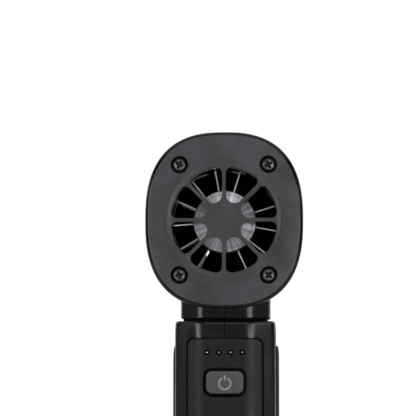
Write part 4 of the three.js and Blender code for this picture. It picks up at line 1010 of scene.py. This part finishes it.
bevel = 0.9 * mm
button_low, button_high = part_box("power_button")
button_height = (button_low.z + button_high.z) / 2
button_size = (button_high.x - button_low.x, button_high.z - button_low.z)
button_corner = 2.6 * mm
button_margin = 1.35 * mm
opening_lip = 0.3 * mm
light_low, light_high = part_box("light_guide")
light_height = (light_low.z + light_high.z) / 2
light_pitch = 5 * mm
light_hole = 1.2 * mm
light_places = [Vector(((i - 1.5) * light_pitch, 0, light_height)) for i in range(4)]

panel = combine(grip_solid(handle_size, 0, 0, handle_top), "DIFFERENCE",
                grip_solid(handle_size, panel_thickness, -past, handle_top + past))
combine(panel, "INTERSECT", upright(panel_outline(0), -far, 0))
shape = bmesh.new()
shape.from_mesh(panel.data)
rim = [edge for edge in shape.edges if len(edge.link_faces) == 2
       and min(abs(face.normal.y) for face in edge.link_faces) < 0.1
       and min(face.normal.y for face in edge.link_faces) < -0.5]
bmesh.ops.bevel(
    shape, geom=rim, offset=bevel, segments=4, profile=0.5, affect="EDGES", clamp_overlap=False)
shape.to_mesh(panel.data)
back = combine(grip_solid(handle_size, panel_thickness / 2, 0, handle_top), "DIFFERENCE",
               grip_solid(handle_size, wall, -past, handle_top + past))
combine(back, "INTERSECT", upright(panel_outline(panel_ledge + gap), -far, 0))
combine(panel, "UNION", back)


def opening(outline):
    """A cutter whose sides flare at the handle's rear face; the outline takes how far it grows."""
    rings = [(0, 0), (0, handle_rear + opening_lip)]
    rings += [(depth, handle_rear + inset) for inset, depth in reversed(edge_rounding(opening_lip, 4))]
    rings.append((opening_lip, -far))
    return loft("opening", [at_y(outline(grow), y, Vector()) for grow, y in rings])


combine(panel, "DIFFERENCE", opening(lambda grow: rounded_rectangle(
    button_size[0] + 2 * (button_margin + grow), button_size[1] + 2 * (button_margin + grow),
    button_corner + button_margin + grow, 0, button_height, 8)))
for where in light_places:
    combine(panel, "DIFFERENCE", upright(arc(where.x, where.z, light_hole, 0, 345, 23), -far, 0))

# ABS from a finely blasted tool: matt, with a tight grain of 0.15 mm that is drawn at 0.35 mm.
blasted_abs, tree, place = new_material("blasted_moulded_abs")
grain = add_node(tree, "TexNoise", {"Vector": place, "Scale": 1 / (0.35 * mm), "Detail": 2})
wipes = add_node(tree, "TexNoise", {
    "Vector": place, "Scale": 1 / (8 * mm), "Detail": 5, "Distortion": 1.5})
cloud = blend(tree, wipes, "#080809", "#0e0e0f")
colour = blend(tree, grain, cloud, "#1b1b1c", (0.45, 0.8), 0.3)
finish_material(
    tree, colour, (wipes, 0.42, 0.54, 0.3, 0.7), (grain, 0.4, 0.03 * mm),
    {"IOR": 1.53, "Specular IOR Level": 0.32})
install(panel, [blasted_abs, groove_shade_black], "housing", "panel_plastic", "control_panel", sharp=45)
# The walls of the button's opening and of the light holes get the near-black ABS: painted shade.
inner_half = (panel_high.x - panel_low.x) / 2 - 2 * bevel
for face in panel.data.polygons:
    within = (abs(face.center.x) < inner_half
              and panel_low.z + 2 * bevel < face.center.z < panel_high.z - 2 * bevel)
    face.material_index = int(within and abs(face.normal.y) < 0.5)

# ---------------------------------------------------------------- power button
# A hard key, lighter than the panel, crowned and rounded, with the usual power sign printed on it.
# Its stem presses the plunger of a small switch on the board.

button_edge = 0.45 * mm
button_crown = 0.22 * mm
button_crown_width = 3 * mm
key_thickness = 3.2 * mm
stem_radius = 1.8 * mm
sign_radius = 2.5 * mm
sign_stroke = 0.68 * mm
sign_drop = 0.5 * mm
sign_gap = 26
bar_bottom, bar_top = 1.3 * mm, 3.5 * mm
print_height = 0.03 * mm


def key_outline(inset):
    return rounded_rectangle(
        button_size[0] - 2 * inset, button_size[1] - 2 * inset, max(button_corner - inset, 0.4 * mm),
        0, button_height, 8)


key_face = button_low.y
rings = [(0, key_face + key_thickness), (0, key_face + button_crown + button_edge)]
rings += [(inset, key_face + button_crown + depth) for inset, depth in edge_rounding(button_edge)]
rings += [(button_edge + button_crown_width * i / 6, key_face + button_crown * (1 - i / 6) ** 2)
          for i in range(1, 7)]
key = loft("key", [at_y(key_outline(inset), y, Vector()) for inset, y in rings])
combine(key, "UNION", upright(
    arc(0, button_height, stem_radius, 0, 350, 35), key_face + key_thickness - 0.5 * mm, button_high.y))

# Key of painted polycarbonate: warm grey, with fine slanting brush lines of 0.2 mm, drawn at 0.5 mm.
brushed_paint, tree, place = new_material("brushed_grey_paint")
along = add_node(tree, "Mapping", {
    "Vector": place, "Rotation": (0, math.radians(52), 0), "Scale": (1, 1, 0.12)})
brush = add_node(tree, "TexNoise", {
    "Vector": along, "Scale": 1 / (0.5 * mm), "Detail": 4, "Roughness": 0.6})
cloud = add_node(tree, "TexNoise", {"Vector": place, "Scale": 1 / (5 * mm), "Detail": 2})
tone = blend(tree, cloud, "#3c3a37", "#464546")
colour = blend(tree, brush, tone, "#57554f", (0.35, 0.7), 0.4)
finish_material(tree, colour, (brush, 0.4, 0.6), (brush, 0.4, 0.02 * mm), {"IOR": 1.58})
install(key, [brushed_paint], "button", "button_plastic", "power_button")

# Pad-printed ink: pale grey, slightly raised, with a thin and uneven edge of coverage.
sign_ink = fine_grained(
    "pad_printed_ink", "#7d7c79", "#a09f9b", 0.3 * mm, 0.01 * mm, 0.6, 0.45, {"IOR": 1.5})
sign_z = button_height - sign_drop
ring_outline = (arc(0, sign_z, sign_radius + sign_stroke / 2, 90 + sign_gap, 450 - sign_gap, 40)
                + arc(0, sign_z, sign_radius - sign_stroke / 2, 450 - sign_gap, 90 + sign_gap, 40))
bar_outline = rounded_rectangle(
    sign_stroke, bar_top - bar_bottom, sign_stroke / 2.1, 0, sign_z + (bar_top + bar_bottom) / 2, 4)
for name, outline in (("power_sign_ring", ring_outline), ("power_sign_bar", bar_outline)):
    sign = upright(outline, key_face - print_height, key_face + 0.3 * mm)
    sign.name = name
    install(sign, [sign_ink], "button", "button_plastic")

coat(ground_steel, "switch_plunger")
coat(blasted_abs, "tact_switch")

# ---------------------------------------------------------------- light guide
# One clear polycarbonate moulding brings four lights from the board to the panel. The ends are
# domed and smoked dark, with a pale spot painted in each middle as a painted highlight, so each
# reads as a pale point in a dark ring.

lens_radius = 0.8 * mm
highlight_spot_radius = 0.32 * mm
lens_dome = 0.35 * mm
bar_corner = 0.6 * mm
bar_thickness = 1.2 * mm
bar_size = (light_high.x - light_low.x, light_high.z - light_low.z)
bar_rear = handle_rear + wall + 2 * gap

guide = upright(rounded_rectangle(*bar_size, bar_corner, 0, light_height),
                bar_rear, bar_rear + bar_thickness)
for where in light_places:
    dome = [(0, light_low.y)]
    dome += [(lens_radius * math.sin(a), light_low.y + lens_dome * (1 - math.cos(a)))
             for a in (math.radians(90 * i / 8) for i in range(1, 9))]
    dome += [(lens_radius, bar_rear + bar_thickness / 2), (0, bar_rear + bar_thickness / 2)]
    combine(guide, "UNION", turned("lens", dome, where, 24))
for side in (-1, 1):
    leg = arc(side * (bar_size[0] / 2 - lens_radius), light_height, lens_radius * 0.98, 0, 345, 23)
    combine(guide, "UNION", upright(leg, bar_rear + bar_thickness / 2, light_high.y))

smoked_clear = fine_grained(
    "smoked_polycarbonate", "#020202", "#060607", 2 * mm, 0.01 * mm, 0.5, 0.35,
    {"IOR": 1.58, "Specular IOR Level": 0.2})
lens_highlight_clear = fine_grained(
    "polycarbonate_painted_highlight", "#9a9a98", "#c4c4c2", 0.3 * mm, 0.02 * mm, 0.6, 0.4,
    {"IOR": 1.58, "Subsurface Weight": 0.3, "Subsurface Radius": (0.5 * mm,) * 3})
install(guide, [smoked_clear, lens_highlight_clear], "housing", "clear_plastic", "light_guide")
# A small spot in the middle of each lens end gets the pale polycarbonate: a painted highlight.
for face in guide.data.polygons:
    nearest = min((face.center - where).xz.length for where in light_places)
    face.material_index = int(face.center.y < light_low.y + 0.3 * mm and nearest < highlight_spot_radius)

# ---------------------------------------------------------------- grip pads
# Rubber pads pressed into recesses on the handle's sides, crowned, with a soft rounded border.

pad_round = 1 * mm
pad_crown = 0.25 * mm
pad_crown_width = 4 * mm
for side, name in ((-1, "left"), (1, "right")):
    low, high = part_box(f"grip_pad_{name}")
    inner, outer = sorted((abs(low.x), abs(high.x)))
    rings = [(0, inner), (0, outer - pad_crown - pad_round)]
    rings += [(inset, outer - pad_crown - depth) for inset, depth in edge_rounding(pad_round)]
    rings += [(pad_round + pad_crown_width * i / 5, outer - pad_crown * (1 - i / 5) ** 2)
              for i in range(1, 6)]
    pad = loft(f"rubber_pad_{name}", [at_x(pad_outline(inset), side * x) for inset, x in rings])
    install(pad, [soft_rubber], "housing", "soft_grip", f"grip_pad_{name}")

# ---------------------------------------------------------------- base
# An ABS cap closes the handle, with a tongue inside the shell; a rubber pad on it stops the
# blower from sliding.

base_round = 0.8 * mm
cap_top = shell_bottom - gap
pad_inset = 3 * mm
pad_edge = 0.4 * mm
tongue = grip_solid(handle_size, wall + gap, cap_top - past, base_high.z)
rings = [at_z(grip_outline(handle_size, inset), base_low.z + depth)
         for inset, depth in reversed(edge_rounding(base_round))]
end_cap = combine(loft("end_cap", rings + [at_z(grip_outline(handle_size), cap_top)]), "UNION", tongue)
install(end_cap, [satin_abs], "housing", "shell_plastic", "base_cap")

low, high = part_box("base_pad")
rings = [at_z(grip_outline(handle_size, pad_inset + inset), low.z + depth)
         for inset, depth in reversed(edge_rounding(pad_edge, 4))]
foot = loft("rubber_foot", rings + [at_z(grip_outline(handle_size, pad_inset), high.z)])
install(foot, [soft_rubber], "housing", "soft_grip", "base_pad")

# ---------------------------------------------------------------- charging socket and boards
# A drawn steel can round a nylon tongue, soldered to its own small board. The control and driver
# boards are fibreglass with a black solder mask.

coat(ground_steel, "charge_port")
solder_mask, tree, place = new_material("black_solder_mask")
tracks = add_node(tree, "TexBrick", {
    "Vector": place, "Scale": 1 / (6 * mm), "Color1": linear("#060707"), "Color2": linear("#0a0c0b"),
    "Mortar": linear("#151817"), "Mortar Size": 0.03})
finish_material(
    tree, tracks, 0.35, (tracks.outputs["Fac"], 0.3, 0.03 * mm), {"IOR": 1.5, "Coat Weight": 0.3})
coat(solder_mask, "control_board", "driver_board", "charge_board")

# ---------------------------------------------------------------- battery
# Four cells in shrink sleeve between two end plates, joined by spot-welded nickel strip. Silicone
# leads run to the driver board, and a flat lead from it to the motor.

shrink_sleeve = fine_grained(
    "pvc_shrink_sleeve", "#24588f", "#3472b4", 5 * mm, 0.05 * mm, 0.4, 0.25, {"IOR": 1.53})
coat(shrink_sleeve, "capacitor", *(f"battery_cell_{i}" for i in (1, 2, 3, 4)))
coat(blasted_abs, "cell_holder_lower", "cell_holder_upper")
nickel_strip = fine_grained(
    "rolled_nickel_strip", "#a09e98", "#cfccc4", 0.8 * mm, 0.03 * mm, 0.45, 0.25, {"Metallic": 1.0})
coat(nickel_strip, "cell_strip_1", "cell_strip_2", "cell_strip_3", "positive_tab", "negative_tab")
silicone_lead = fine_grained(
    "red_silicone_rubber", "#7d1515", "#a32020", 1.5 * mm, 0.03 * mm, 0.6, 0.45, {"IOR": 1.41})
coat(silicone_lead, "motor_cable", "battery_lead_1", "battery_lead_2")
